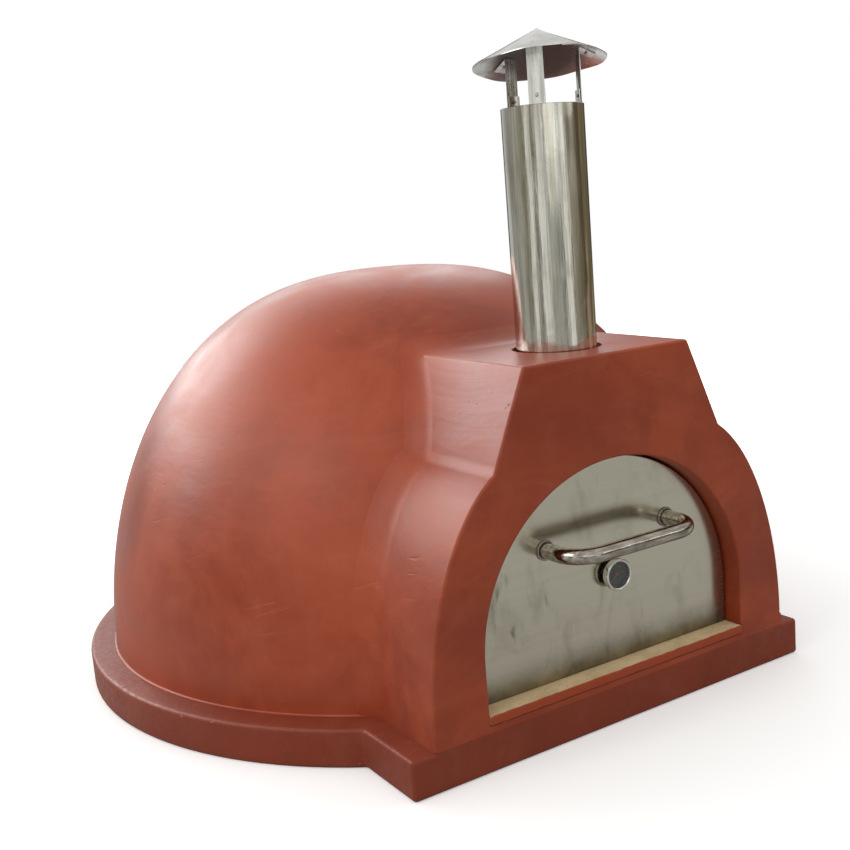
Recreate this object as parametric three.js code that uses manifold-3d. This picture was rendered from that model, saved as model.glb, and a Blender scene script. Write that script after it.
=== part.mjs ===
// Wood fired pizza oven: an insulated refractory dome with a cast front arch, plastered outside,
// on a concrete slab, with a lift-out steel door and a steel flue under a rain cowl.
//
// Millimetres. X runs across the oven, Y from its front to its back, and Z up.
// The origin is on the ground, straight below the middle of the dome.

import * as THREE from 'three';
import { mergeVertices } from 'three/addons/utils/BufferGeometryUtils.js';
import Module from 'manifold-3d';

// ---------------------------------------------------------------- driving dimensions

const GAP = 0.3;                      // free space between two pieces that touch

// Slab: round under the dome, with a square block under the front arch.
const FRONT = -647;                   // front face of the slab and of the arch
const SLAB_TOP = 64;
const SLAB_RADIUS = 646;
const SLAB_FRONT_HALF_WIDTH = 404;
const RECESS_RADIUS = 466.5;          // shallow pit that holds the insulated hearth
const RECESS_FLOOR = 29;

// Hearth: fire tiles on an insulating board, a tile through the mouth and one in front of the door.
const HEARTH_TOP = 89;
const HEARTH_TILE_THICKNESS = 30;
const HEARTH_TILE_SIZE = 310;
const HEARTH_CLEARANCE = 1;
const HEARTH_JOINT = 1.5;
const MOUTH_TILE_THICKNESS = 14.4;
const DOORSTEP_OVERHANG = 2;

// Dome: three shells, one over the other, all of one family of outlines.
const DOME_RADIUS = 598;
const DOME_HEIGHT = 664;
const DOME_ROUND_ACROSS = 2.49;       // 2 is an ellipse, more is squarer at the sides
const DOME_ROUND_UP = 1.886;          // 2 is an ellipse, less is more pointed at the crown
const RENDER_THICKNESS = 15;
const BLANKET_THICKNESS = 50;
const REFRACTORY_THICKNESS = 60;
const DOME_STEPS = 10;                // flat bands up each shell, alike on all so that they nest
const DOME_SEGMENTS = 48;

// Front arch: shoulders that curve up into a square chimney block.
const ARCH_SHOULDER_CENTRE = 157;
const ARCH_SHOULDER_FOOT = 88;
const ARCH_SHOULDER_ACROSS = 206;
const ARCH_SHOULDER_UP = 384;
const ARCH_SHOULDER_TOP = 449;
const ARCH_TOP = 598;
const ARCH_TOP_HALF_WIDTH = 163;
const ARCH_BACK = -230;

// Mouth: a wide rebate for the door, and a narrower tunnel behind it.
const MOUTH_SPRING = 169;             // height at which the straight sides turn into the arch
const MOUTH_HALF_WIDTH = 264.5;
const MOUTH_FLOOR = 74.3;
const REBATE_BACK = FRONT + 67.5;
const TUNNEL_HALF_WIDTH = 240;
const ARCH_STEPS = 12;                // steps in each quarter of a round arch
const SHOULDER_STEPS = 7;

// Flue: a straight pipe that stands on a ledge inside the chimney block.
const FLUE_Y = FRONT + 130;
const FLUE_RADIUS = 65;
const FLUE_WALL = 1.5;
const FLUE_TOP = 974;
const SOCKET_RADIUS = 71.5;
const SOCKET_LEDGE = 500;
const THROAT_RADIUS = 54;
const GASKET_HEIGHT = 560;

// Cowl: a cone on three straps, riveted to a collar that slips into the flue.
const COWL_RADIUS = 104;
const COWL_HEIGHT = 52;
const COWL_SHEET = 1.35;              // thickness of the cone, measured upright
const COWL_RIM_HEIGHT = 64.5;         // above the flue's rim
const COWL_TILT_BACK = 6.6;           // degrees
const COWL_TILT_SIDE = 2.8;
const COLLAR_RADIUS = 60;
const COLLAR_SHEET = 1.2;
const STRAP_WIDTH = 25;
const STRAP_SHEET = 1.2;
const STRAP_ANGLES = { front: 226, right: 336, rear: 101 };
const STRAP_TAB_REACH = 86;           // how far out the bent tab goes below the cone
const RIVET_HEAD_RADIUS = 3.2;
const RIVET_SHANK_RADIUS = 1.5;

// Door: a folded steel tray with insulation, closed by a back sheet, with a rope seal.
const DOOR_FACE = FRONT + 35;
const DOOR_CLEARANCE = 3.5;
const DOOR_DEPTH = 24;
const DOOR_SHEET = 1.5;
const DOOR_FLANGE = 23;
const SEAL_INSET = 5;
const SEAL_WIDTH = 7;
const SCREW_INSET = 18;

// Handle: a bent tube, bolted on from inside the door.
const HANDLE_CENTRE_X = 5;
const HANDLE_HEIGHT = 305;
const HANDLE_HALF_SPAN = 125;
const HANDLE_REACH = 77;
const HANDLE_BEND = 53;
const HANDLE_RADIUS = 12.5;
const HANDLE_WALL = 1.5;
const BOLT_RADIUS = 4;

// Door thermometer.
const THERMOMETER_X = 10;
const THERMOMETER_HEIGHT = 238;
const BEZEL_RADIUS = 26;
const POINTER_REST_ANGLE = 225;       // degrees, where the needle rests when the oven is cold

// ---------------------------------------------------------------- colours and finishes

const FINISHES = {
  plaster: { color: 0x9c4a31, roughness: 0.55, metalness: 0 },
  concrete: { color: 0x8f4029, roughness: 0.6, metalness: 0 },
  refractory: { color: 0xb9a184, roughness: 0.9, metalness: 0 },
  fireclay: { color: 0xd2c29a, roughness: 0.85, metalness: 0 },
  blanket: { color: 0xe4e2dc, roughness: 1, metalness: 0 },
  polished: { color: 0xb8b8b4, roughness: 0.15, metalness: 1 },
  brushed: { color: 0x97947f, roughness: 0.4, metalness: 1 },
  rope: { color: 0x4a4844, roughness: 1, metalness: 0 },
  dial: { color: 0x1b2220, roughness: 0.6, metalness: 0 },
  pointer: { color: 0xc8442c, roughness: 0.5, metalness: 0 },
  glass: { color: 0xdfe8e6, roughness: 0.05, metalness: 0 },
};

// ---------------------------------------------------------------- tools for making solids

const wasm = await Module();
wasm.setup();

function piece(name, geometry, finish) {
  const mesh = new THREE.Mesh(geometry, new THREE.MeshStandardMaterial(FINISHES[finish]));
  mesh.name = name;
  return mesh;
}

// A closed geometry as a manifold solid. Triangles that close up at a pole are left out.
function solid(geometry) {
  const bare = geometry.clone();
  bare.deleteAttribute('normal');
  bare.deleteAttribute('uv');
  const welded = mergeVertices(bare, 1e-4);
  const corners = welded.index.array;
  const kept = [];
  for (let i = 0; i < corners.length; i += 3) {
    const [a, b, c] = corners.slice(i, i + 3);
    if (a !== b && b !== c && c !== a) kept.push(a, b, c);
  }
  return new wasm.Manifold(new wasm.Mesh({
    numProp: 3,
    vertProperties: new Float32Array(welded.attributes.position.array),
    triVerts: new Uint32Array(kept),
  }));
}

function geometryOf(body) {
  const mesh = body.getMesh();
  const geometry = new THREE.BufferGeometry();
  geometry.setAttribute('position', new THREE.BufferAttribute(mesh.vertProperties, 3));
  geometry.setIndex(new THREE.BufferAttribute(mesh.triVerts, 1));
  geometry.computeVertexNormals();
  return geometry;
}

// The first geometry with every other one taken away from it.
function cutAway(geometry, ...tools) {
  const body = tools.reduce((left, tool) => left.subtract(solid(tool)), solid(geometry));
  return geometryOf(body);
}

// A shape drawn in X and Z, from one Y to another.
function upright(shape, front, back, curveSegments = 12) {
  const settings = { depth: back - front, bevelEnabled: false, curveSegments };
  return new THREE.ExtrudeGeometry(shape, settings).rotateX(Math.PI / 2).translate(0, back, 0);
}

// A shape drawn in X and Y, from one height to another.
function level(shape, bottom, top, curveSegments) {
  const settings = { depth: top - bottom, bevelEnabled: false, curveSegments };
  return new THREE.ExtrudeGeometry(shape, settings).translate(0, 0, bottom);
}

// A profile of [radius, height] points turned about the Y axis, or about the Z axis.
function turnedAboutY(points, segments) {
  return new THREE.LatheGeometry(points.map(([r, h]) => new THREE.Vector2(r, h)), segments);
}

function turnedAboutZ(points, segments) {
  return turnedAboutY(points, segments).rotateX(Math.PI / 2);
}

function roundBar(radius, start, end) {
  return [[0, start], [radius, start], [radius, end], [0, end]];
}

function barAlongZ(radius, bottom, top, segments = 40) {
  return turnedAboutZ(roundBar(radius, bottom, top), segments);
}

function barAlongY(radius, front, back, segments = 16) {
  return turnedAboutY(roundBar(radius, front, back), segments);
}

function box(xs, ys, zs) {
  const size = [xs, ys, zs].map(([low, high]) => high - low);
  const middle = [xs, ys, zs].map(([low, high]) => (high + low) / 2);
  return new THREE.BoxGeometry(...size).translate(...middle);
}

// ---------------------------------------------------------------- outlines

// A doorway: straight sides up to the springing height, then half a circle.
function archway(halfWidth, floor) {
  const shape = new THREE.Shape();
  shape.moveTo(-halfWidth, floor);
  shape.lineTo(halfWidth, floor);
  shape.lineTo(halfWidth, MOUTH_SPRING);
  shape.absarc(0, MOUTH_SPRING, halfWidth, 0, Math.PI, false);
  return shape;
}

// The outside of the front arch, larger by a margin all round.
function archOutline(floor, margin = 0) {
  const rise = Math.asin((ARCH_SHOULDER_TOP - ARCH_SHOULDER_FOOT) / ARCH_SHOULDER_UP);
  const across = ARCH_SHOULDER_ACROSS + margin;
  const up = ARCH_SHOULDER_UP + margin;
  const shape = new THREE.Shape();
  shape.moveTo(-ARCH_SHOULDER_CENTRE - across, floor);
  shape.lineTo(ARCH_SHOULDER_CENTRE + across, floor);
  shape.absellipse(ARCH_SHOULDER_CENTRE, ARCH_SHOULDER_FOOT, across, up, 0, rise, false);
  shape.lineTo(ARCH_TOP_HALF_WIDTH + margin, ARCH_TOP + margin);
  shape.lineTo(-ARCH_TOP_HALF_WIDTH - margin, ARCH_TOP + margin);
  shape.absellipse(-ARCH_SHOULDER_CENTRE, ARCH_SHOULDER_FOOT, across, up, Math.PI - rise, Math.PI, false);
  return shape;
}

// Points up the dome's outline, from its foot to its crown, at a depth below the outer skin.
function domeOutline(depth) {
  const points = [];
  for (let i = 0; i <= DOME_STEPS; i += 1) {
    const turn = (i / DOME_STEPS) * (Math.PI / 2);
    const cosine = i === DOME_STEPS ? 0 : Math.cos(turn);
    const radius = (DOME_RADIUS - depth) * cosine ** (2 / DOME_ROUND_ACROSS);
    const rise = (DOME_HEIGHT - depth) * Math.sin(turn) ** (2 / DOME_ROUND_UP);
    points.push([radius, SLAB_TOP + GAP + rise]);
  }
  return points;
}

// One shell of the dome, between two depths below the outer skin.
function domeShell(outerDepth, innerDepth) {
  const inside = domeOutline(innerDepth).reverse();
  return turnedAboutZ([...inside, ...domeOutline(outerDepth)], DOME_SEGMENTS);
}

// ---------------------------------------------------------------- slab and hearth

const frontCorner = Math.acos(SLAB_FRONT_HALF_WIDTH / SLAB_RADIUS);

function baseSlab() {
  const shape = new THREE.Shape();
  shape.moveTo(-SLAB_FRONT_HALF_WIDTH, FRONT);
  shape.lineTo(SLAB_FRONT_HALF_WIDTH, FRONT);
  shape.absarc(0, 0, SLAB_RADIUS, -frontCorner, Math.PI + frontCorner, false);
  const recess = barAlongZ(RECESS_RADIUS, RECESS_FLOOR, SLAB_TOP + 1, 48);
  return piece('base_slab', cutAway(level(shape, 0, SLAB_TOP, 36), recess), 'concrete');
}

const tileBottom = HEARTH_TOP - HEARTH_TILE_THICKNESS;

function floorInsulation() {
  const board = barAlongZ(RECESS_RADIUS - 1.5, RECESS_FLOOR + GAP, tileBottom - GAP, 48);
  return piece('floor_insulation_board', board, 'blanket');
}

// Nine square tiles, trimmed to a circle.
function hearthTiles() {
  const rows = ['front', 'middle', 'back'];
  const columns = ['left', 'centre', 'right'];
  const disc = barAlongZ(RECESS_RADIUS - HEARTH_CLEARANCE, tileBottom, HEARTH_TOP, 48);
  const span = (index) => {
    const low = (index - 1.5) * HEARTH_TILE_SIZE + HEARTH_JOINT / 2;
    return [low, low + HEARTH_TILE_SIZE - HEARTH_JOINT];
  };
  return rows.flatMap((row, i) => columns.map((column, j) => {
    const square = box(span(j), span(i), [tileBottom - 1, HEARTH_TOP + 1]);
    const tile = geometryOf(solid(disc).intersect(solid(square)));
    return piece(`hearth_tile_${row}_${column}`, tile, 'fireclay');
  }));
}

const mouthTileHeights = [HEARTH_TOP - MOUTH_TILE_THICKNESS, HEARTH_TOP];

// The tile through the tunnel meets the round hearth in a hollow curve.
function mouthTile() {
  const halfWidth = TUNNEL_HALF_WIDTH - 0.5;
  const blank = box([-halfWidth, halfWidth], [REBATE_BACK + GAP, -400], mouthTileHeights);
  const hearth = barAlongZ(RECESS_RADIUS + 1, SLAB_TOP, HEARTH_TOP + 1, 48);
  return piece('mouth_tile', cutAway(blank, hearth), 'fireclay');
}

function doorstepTile() {
  const halfWidth = MOUTH_HALF_WIDTH - 0.5;
  const ys = [FRONT - DOORSTEP_OVERHANG, REBATE_BACK - GAP];
  return piece('doorstep_tile', box([-halfWidth, halfWidth], ys, mouthTileHeights), 'fireclay');
}

// ---------------------------------------------------------------- dome and front arch

const blanketDepth = RENDER_THICKNESS + GAP;
const refractoryDepth = RENDER_THICKNESS + BLANKET_THICKNESS;

function refractoryDome() {
  const shell = domeShell(refractoryDepth, refractoryDepth + REFRACTORY_THICKNESS);
  const mouth = upright(archway(TUNNEL_HALF_WIDTH, MOUTH_FLOOR), FRONT, 0, ARCH_STEPS);
  return piece('refractory_dome', cutAway(shell, mouth), 'refractory');
}

function aroundTheArch() {
  return upright(archOutline(SLAB_TOP - 1, GAP), FRONT - 1, -200, SHOULDER_STEPS);
}

function insulationBlanket() {
  const shell = domeShell(blanketDepth, refractoryDepth - GAP);
  return piece('insulation_blanket', cutAway(shell, aroundTheArch()), 'blanket');
}

function domeRender() {
  const shell = domeShell(0, RENDER_THICKNESS);
  return piece('dome_render', cutAway(shell, aroundTheArch()), 'plaster');
}

function flueHole(radius, bottom, top) {
  return barAlongZ(radius, bottom, top).translate(0, FLUE_Y, 0);
}

function frontArch() {
  const block = upright(archOutline(SLAB_TOP + GAP), FRONT, ARCH_BACK, SHOULDER_STEPS);
  const rebate = upright(archway(MOUTH_HALF_WIDTH, MOUTH_FLOOR), FRONT - 1, REBATE_BACK, ARCH_STEPS);
  const tunnel = upright(archway(TUNNEL_HALF_WIDTH, MOUTH_FLOOR), REBATE_BACK - 1, 0, ARCH_STEPS);
  const dome = turnedAboutZ([[0, 0], ...domeOutline(refractoryDepth - GAP)], DOME_SEGMENTS);
  const socket = flueHole(SOCKET_RADIUS, SOCKET_LEDGE, ARCH_TOP + 1);
  const throat = flueHole(THROAT_RADIUS, MOUTH_SPRING, SOCKET_LEDGE + 1);
  return piece('front_arch', cutAway(block, rebate, tunnel, dome, socket, throat), 'plaster');
}

// ---------------------------------------------------------------- flue

function fluePipe() {
  const bottom = SOCKET_LEDGE + GAP;
  const inside = FLUE_RADIUS - FLUE_WALL;
  const wall = [[inside, bottom], [FLUE_RADIUS, bottom], [FLUE_RADIUS, FLUE_TOP], [inside, FLUE_TOP]];
  const pipe = turnedAboutZ([...wall, wall[0]], 48).translate(0, FLUE_Y, 0);
  return piece('flue_pipe', pipe, 'polished');
}

// A rope ring that closes the gap between the pipe and its socket.
function flueGasket() {
  const middle = (FLUE_RADIUS + SOCKET_RADIUS) / 2;
  const rope = (SOCKET_RADIUS - FLUE_RADIUS) / 2 - GAP;
  const ring = new THREE.TorusGeometry(middle, rope, 6, 32).translate(0, FLUE_Y, GASKET_HEIGHT);
  return piece('flue_gasket', ring, 'rope');
}

// ---------------------------------------------------------------- cowl

// The cowl's own frame is at the middle of its rim, tilted as it sits. Heights of the collar,
// the straps and their lower rivets are counted from the flue's rim.
const cowlTilt = new THREE.Matrix4()
  .makeRotationFromEuler(new THREE.Euler(
    -THREE.MathUtils.degToRad(COWL_TILT_BACK),
    THREE.MathUtils.degToRad(COWL_TILT_SIDE),
    0,
  ))
  .setPosition(0, 0, COWL_RIM_HEIGHT);

const COLLAR_BOTTOM = -45;
const COLLAR_TOP = -6;
const TAB_TOP = 22;
const STRAP_BOTTOM = -30;
const LOWER_RIVET_HEIGHT = 13;
const UPPER_RIVET_REACH = 76;
const coneSlope = COWL_HEIGHT / COWL_RADIUS;
const strapInside = COLLAR_RADIUS + GAP;

// Height of the cone's outer face, in the cowl's frame.
function coneHeight(radius, drop = 0) {
  return COWL_HEIGHT - drop - coneSlope * radius;
}

function radialBox(rs, halfWidth, zs, angle) {
  return box(rs, [-halfWidth, halfWidth], zs).rotateZ(THREE.MathUtils.degToRad(angle));
}

// A bar through the sheet at a rivet's place, for its shank or for its hole.
function lowerRivetBar(radius, angle) {
  const bar = barAlongZ(radius, COLLAR_RADIUS - 10, COLLAR_RADIUS + 10, 12).rotateY(Math.PI / 2);
  return bar.translate(0, 0, LOWER_RIVET_HEIGHT).rotateZ(THREE.MathUtils.degToRad(angle));
}

function upperRivetMatrix(angle) {
  const lean = new THREE.Matrix4().makeRotationY(Math.atan(coneSlope));
  const turn = new THREE.Matrix4().makeRotationZ(THREE.MathUtils.degToRad(angle));
  lean.setPosition(UPPER_RIVET_REACH, 0, coneHeight(UPPER_RIVET_REACH));
  return turn.multiply(lean);
}

function upperRivetHole(angle) {
  return barAlongZ(RIVET_SHANK_RADIUS + GAP, -12, 12, 12).applyMatrix4(upperRivetMatrix(angle));
}

function cowlCone() {
  const inner = COWL_RADIUS - COWL_SHEET / coneSlope;
  const sheet = [[0, COWL_HEIGHT - COWL_SHEET], [inner, 0], [COWL_RADIUS, 0], [0, COWL_HEIGHT]];
  const holes = Object.values(STRAP_ANGLES).map((angle) => upperRivetHole(angle));
  const cone = cutAway(turnedAboutZ(sheet, 48), ...holes).applyMatrix4(cowlTilt);
  return piece('cowl_cone', cone, 'polished');
}

// A ring that slips inside the flue, with a short tab standing up behind each strap.
function cowlCollar() {
  const inside = COLLAR_RADIUS - COLLAR_SHEET;
  const ring = [[inside, COLLAR_BOTTOM], [COLLAR_RADIUS, COLLAR_BOTTOM], [COLLAR_RADIUS, TAB_TOP],
    [inside, TAB_TOP], [inside, COLLAR_BOTTOM]];
  const angles = Object.values(STRAP_ANGLES);
  const below = barAlongZ(COLLAR_RADIUS + 5, COLLAR_BOTTOM - 1, COLLAR_TOP, 12);
  const tabs = angles.map((angle) => {
    return radialBox([20, COLLAR_RADIUS + 5], STRAP_WIDTH / 2, [COLLAR_TOP - 1, TAB_TOP + 1], angle);
  });
  const keep = tabs.reduce((left, tab) => left.add(solid(tab)), solid(below));
  const collar = geometryOf(solid(turnedAboutZ(ring, 36)).intersect(keep));
  const holes = angles.map((angle) => lowerRivetBar(RIVET_SHANK_RADIUS + GAP, angle));
  return piece('cowl_collar', cutAway(collar, ...holes), 'brushed');
}

// An upright strip that is bent outwards at its top and lies along the underside of the cone.
function cowlStrap(side, angle) {
  const tabTop = COWL_SHEET + GAP;
  const tabBottom = tabTop + COWL_SHEET;
  const outer = STRAP_TAB_REACH + 20;
  const layer = [[0, coneHeight(0, tabBottom)], [outer, coneHeight(outer, tabBottom)],
    [outer, coneHeight(outer, tabTop)], [0, coneHeight(0, tabTop)]];
  const legTop = (tabTop + tabBottom) / 2;
  const roof = [[0, coneHeight(0, legTop)], [outer, coneHeight(outer, legTop)], [outer, 200], [0, 200]];
  const reach = radialBox([strapInside, STRAP_TAB_REACH], STRAP_WIDTH / 2, [-40, 140], angle);
  const tab = solid(turnedAboutZ(layer, 60).applyMatrix4(cowlTilt)).intersect(solid(reach));
  const leg = radialBox([strapInside, strapInside + STRAP_SHEET], STRAP_WIDTH / 2,
    [STRAP_BOTTOM, 140], angle);
  const upper = cutAway(leg, turnedAboutZ(roof, 60).applyMatrix4(cowlTilt));
  const bent = geometryOf(solid(upper).add(tab));
  const strap = cutAway(bent, lowerRivetBar(RIVET_SHANK_RADIUS + GAP, angle),
    upperRivetHole(angle).applyMatrix4(cowlTilt));
  return piece(`cowl_strap_${side}`, strap, 'brushed');
}

// A blind rivet: a domed head, a shank, and a rolled tail. The tail is at the low end.
function rivet(tailTop, headBottom) {
  const head = RIVET_HEAD_RADIUS;
  const shank = RIVET_SHANK_RADIUS;
  const tail = shank + 0.9;
  return turnedAboutZ([[0, tailTop - 2], [tail, tailTop - 2], [tail, tailTop], [shank, tailTop],
    [shank, headBottom], [head, headBottom], [head * 0.75, headBottom + 0.9], [0, headBottom + 1.3]], 10);
}

function lowerRivet(side, angle) {
  const strapOutside = strapInside + STRAP_SHEET;
  const shape = rivet(COLLAR_RADIUS - COLLAR_SHEET - GAP - 0.5, strapOutside + GAP);
  shape.rotateY(Math.PI / 2).translate(0, 0, LOWER_RIVET_HEIGHT);
  return piece(`cowl_lower_rivet_${side}`, shape.rotateZ(THREE.MathUtils.degToRad(angle)), 'polished');
}

function upperRivet(side, angle) {
  const shape = rivet(-2 * COWL_SHEET - 2 * GAP, GAP + 0.1);
  shape.applyMatrix4(upperRivetMatrix(angle)).applyMatrix4(cowlTilt);
  return piece(`cowl_upper_rivet_${side}`, shape, 'polished');
}

function cowl() {
  const group = new THREE.Group();
  group.position.set(0, FLUE_Y, FLUE_TOP);
  group.add(cowlCone(), cowlCollar());
  for (const [side, angle] of Object.entries(STRAP_ANGLES)) {
    group.add(cowlStrap(side, angle), lowerRivet(side, angle), upperRivet(side, angle));
  }
  return group;
}

// ---------------------------------------------------------------- door

// The door's pieces are drawn in a frame whose Y is 0 at the door's front face.
function doorShape(inset) {
  const halfWidth = MOUTH_HALF_WIDTH - DOOR_CLEARANCE - inset;
  return archway(halfWidth, HEARTH_TOP + GAP + inset);
}

const handleRoots = [-HANDLE_HALF_SPAN, HANDLE_HALF_SPAN].map((offset) => HANDLE_CENTRE_X + offset);

function handleBoltBar(x, radius, front, back) {
  return barAlongY(radius, front, back, 16).translate(x, 0, HANDLE_HEIGHT);
}

function stemHole(radius, front, back) {
  return barAlongY(radius, front, back, 24).translate(THERMOMETER_X, 0, THERMOMETER_HEIGHT);
}

// Five screws round the arch and two along the bottom edge.
const screwPlaces = [];
for (let i = 0; i <= 4; i += 1) {
  const turn = (i / 4) * Math.PI;
  const radius = MOUTH_HALF_WIDTH - DOOR_CLEARANCE - SCREW_INSET;
  screwPlaces.push([radius * Math.cos(turn), MOUTH_SPRING + radius * Math.sin(turn)]);
}
for (const x of [-120, 120]) screwPlaces.push([x, HEARTH_TOP + GAP + SCREW_INSET]);

function screwHoles(radius, front, back) {
  return screwPlaces.map(([x, z]) => barAlongY(radius, front, back, 12).translate(x, 0, z));
}

function doorTray() {
  const blank = upright(doorShape(0), 0, DOOR_DEPTH, ARCH_STEPS);
  const hollow = upright(doorShape(DOOR_SHEET), DOOR_SHEET, DOOR_DEPTH - DOOR_SHEET, ARCH_STEPS);
  const back = upright(doorShape(DOOR_FLANGE), DOOR_DEPTH - DOOR_SHEET - 1, DOOR_DEPTH + 1, ARCH_STEPS);
  const boltHoles = handleRoots.map((x) => handleBoltBar(x, BOLT_RADIUS + GAP, -1, 3));
  const holes = [...boltHoles, stemHole(5.2, -1, 3), ...screwHoles(2, DOOR_DEPTH - 3, DOOR_DEPTH + 1)];
  return piece('door_tray', cutAway(blank, hollow, back, ...holes), 'brushed');
}

function doorInsulation() {
  const front = DOOR_SHEET + GAP;
  const back = DOOR_DEPTH - DOOR_SHEET - GAP;
  const pad = upright(doorShape(DOOR_SHEET + GAP), front, back, ARCH_STEPS);
  const boltPockets = handleRoots.map((x) => handleBoltBar(x, 8, 0, DOOR_DEPTH));
  const filled = cutAway(pad, ...boltPockets, stemHole(5.5, 0, DOOR_DEPTH));
  return piece('door_insulation', filled, 'blanket');
}

const coverFront = DOOR_DEPTH + GAP;
const coverBack = coverFront + 1.2;

function doorBackSheet() {
  const sheet = upright(doorShape(3), coverFront, coverBack, ARCH_STEPS);
  const holes = screwHoles(2, coverFront - 1, coverBack + 1);
  const cover = cutAway(sheet, ...holes, stemHole(5.2, coverFront - 1, coverBack + 1));
  return piece('door_back_sheet', cover, 'brushed');
}

function doorScrew(index, x, z) {
  const head = coverBack + GAP;
  const tip = DOOR_DEPTH - DOOR_SHEET - 0.1;
  const profile = [[0, tip], [1.6, tip], [1.6, head], [4, head], [3.2, head + 2], [0, head + 2.4]];
  return piece(`door_screw_${index + 1}`, turnedAboutY(profile, 10).translate(x, 0, z), 'polished');
}

// A rope that lies round the arch on the back sheet and presses on the end of the rebate.
function doorSeal() {
  const outside = MOUTH_HALF_WIDTH - DOOR_CLEARANCE - SEAL_INSET;
  const inside = outside - SEAL_WIDTH;
  const floor = HEARTH_TOP + GAP + SEAL_INSET;
  const shape = new THREE.Shape();
  shape.moveTo(inside, floor);
  shape.lineTo(outside, floor);
  shape.lineTo(outside, MOUTH_SPRING);
  shape.absarc(0, MOUTH_SPRING, outside, 0, Math.PI, false);
  shape.lineTo(-outside, floor);
  shape.lineTo(-inside, floor);
  shape.lineTo(-inside, MOUTH_SPRING);
  shape.absarc(0, MOUTH_SPRING, inside, Math.PI, 0, true);
  const back = REBATE_BACK - DOOR_FACE - GAP;
  return piece('door_seal', upright(shape, coverBack + GAP, back, ARCH_STEPS), 'rope');
}

// ---------------------------------------------------------------- handle

function handleLine() {
  const [left, right] = handleRoots;
  const at = (x, y) => new THREE.Vector3(x, y, HANDLE_HEIGHT);
  const root = -GAP;
  const bar = -HANDLE_REACH;
  const line = new THREE.CurvePath();
  line.add(new THREE.LineCurve3(at(left, root), at(left, bar + HANDLE_BEND)));
  line.add(new THREE.QuadraticBezierCurve3(
    at(left, bar + HANDLE_BEND), at(left, bar), at(left + HANDLE_BEND, bar)));
  line.add(new THREE.LineCurve3(at(left + HANDLE_BEND, bar), at(right - HANDLE_BEND, bar)));
  line.add(new THREE.QuadraticBezierCurve3(
    at(right - HANDLE_BEND, bar), at(right, bar), at(right, bar + HANDLE_BEND)));
  line.add(new THREE.LineCurve3(at(right, bar + HANDLE_BEND), at(right, root)));
  return line;
}

function ringShape(outside, inside) {
  const shape = new THREE.Shape();
  shape.absarc(0, 0, outside, 0, 2 * Math.PI, false);
  const hole = new THREE.Path();
  hole.absarc(0, 0, inside, 0, 2 * Math.PI, true);
  shape.holes.push(hole);
  return shape;
}

function handleTube() {
  const section = ringShape(HANDLE_RADIUS, HANDLE_RADIUS - HANDLE_WALL);
  const settings = { extrudePath: handleLine(), steps: 24, bevelEnabled: false, curveSegments: 6 };
  return piece('handle_tube', new THREE.ExtrudeGeometry(section, settings), 'polished');
}

// At each root: a collar round the tube, a threaded plug in its end, and a bolt from inside.
function handleRoot(side, x) {
  const place = (geometry) => geometry.translate(x, 0, HANDLE_HEIGHT);
  const collarIn = HANDLE_RADIUS + 0.6;
  const collarOut = HANDLE_RADIUS + 4;
  const collar = [[collarIn, -3.5], [collarOut - 1, -3.5], [collarOut, -2.5], [collarOut, -GAP],
    [collarIn, -GAP], [collarIn, -3.5]];
  const plugOut = HANDLE_RADIUS - HANDLE_WALL - 0.5;
  const bore = BOLT_RADIUS + GAP;
  const plug = [[0, -20], [plugOut, -20], [plugOut, -GAP], [bore, -GAP], [bore, -16], [0, -16]];
  const head = DOOR_SHEET + GAP;
  const bolt = [[0, -14], [BOLT_RADIUS, -14], [BOLT_RADIUS, head], [6.5, head], [6.5, head + 5],
    [0, head + 5]];
  return [
    piece(`handle_collar_${side}`, place(turnedAboutY(collar, 20)), 'polished'),
    piece(`handle_plug_${side}`, place(turnedAboutY(plug, 14)), 'brushed'),
    piece(`handle_bolt_${side}`, place(turnedAboutY(bolt, 12)), 'brushed'),
  ];
}

// ---------------------------------------------------------------- thermometer

// Its pieces are turned about Y, with Y at 0 on the door's face and less towards the viewer.
function thermometerTurned(name, profile, segments, finish) {
  return piece(name, turnedAboutY(profile, segments), finish);
}

function thermometerCase() {
  const profile = [[1.3, -8.2], [23, -8.2], [23, -18], [24, -18], [24, -7], [1.3, -7], [1.3, -8.2]];
  return thermometerTurned('thermometer_case', profile, 28, 'polished');
}

function thermometerBezel() {
  const lip = BEZEL_RADIUS - 4.5;
  const profile = [[lip, -20], [lip + 1, -20.5], [BEZEL_RADIUS - 0.8, -20.5], [BEZEL_RADIUS, -19.7],
    [BEZEL_RADIUS, -13], [24.3, -13], [24.3, -19.5], [lip, -19.5], [lip, -20]];
  return thermometerTurned('thermometer_bezel', profile, 28, 'polished');
}

function thermometerGlass() {
  return piece('thermometer_glass', barAlongY(22.5, -19.2, -17.7, 24), 'glass');
}

function thermometerDial() {
  const profile = [[1.4, -9.3], [22.6, -9.3], [22.6, -8.5], [1.4, -8.5], [1.4, -9.3]];
  return thermometerTurned('thermometer_dial', profile, 24, 'dial');
}

// Boss, threaded shank and probe in one piece.
function thermometerStem() {
  const profile = [[0, -6.7], [9, -6.7], [9, -GAP], [4.9, -GAP], [4.9, 32], [2.5, 34], [2.5, 68], [0, 70]];
  return thermometerTurned('thermometer_stem', profile, 16, 'polished');
}

function thermometerNut() {
  const start = coverBack + GAP;
  const hexagon = turnedAboutY(roundBar(9.5, start, start + 5), 6);
  return piece('thermometer_nut', cutAway(hexagon, barAlongY(5.3, start - 1, start + 6)), 'brushed');
}

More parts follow.
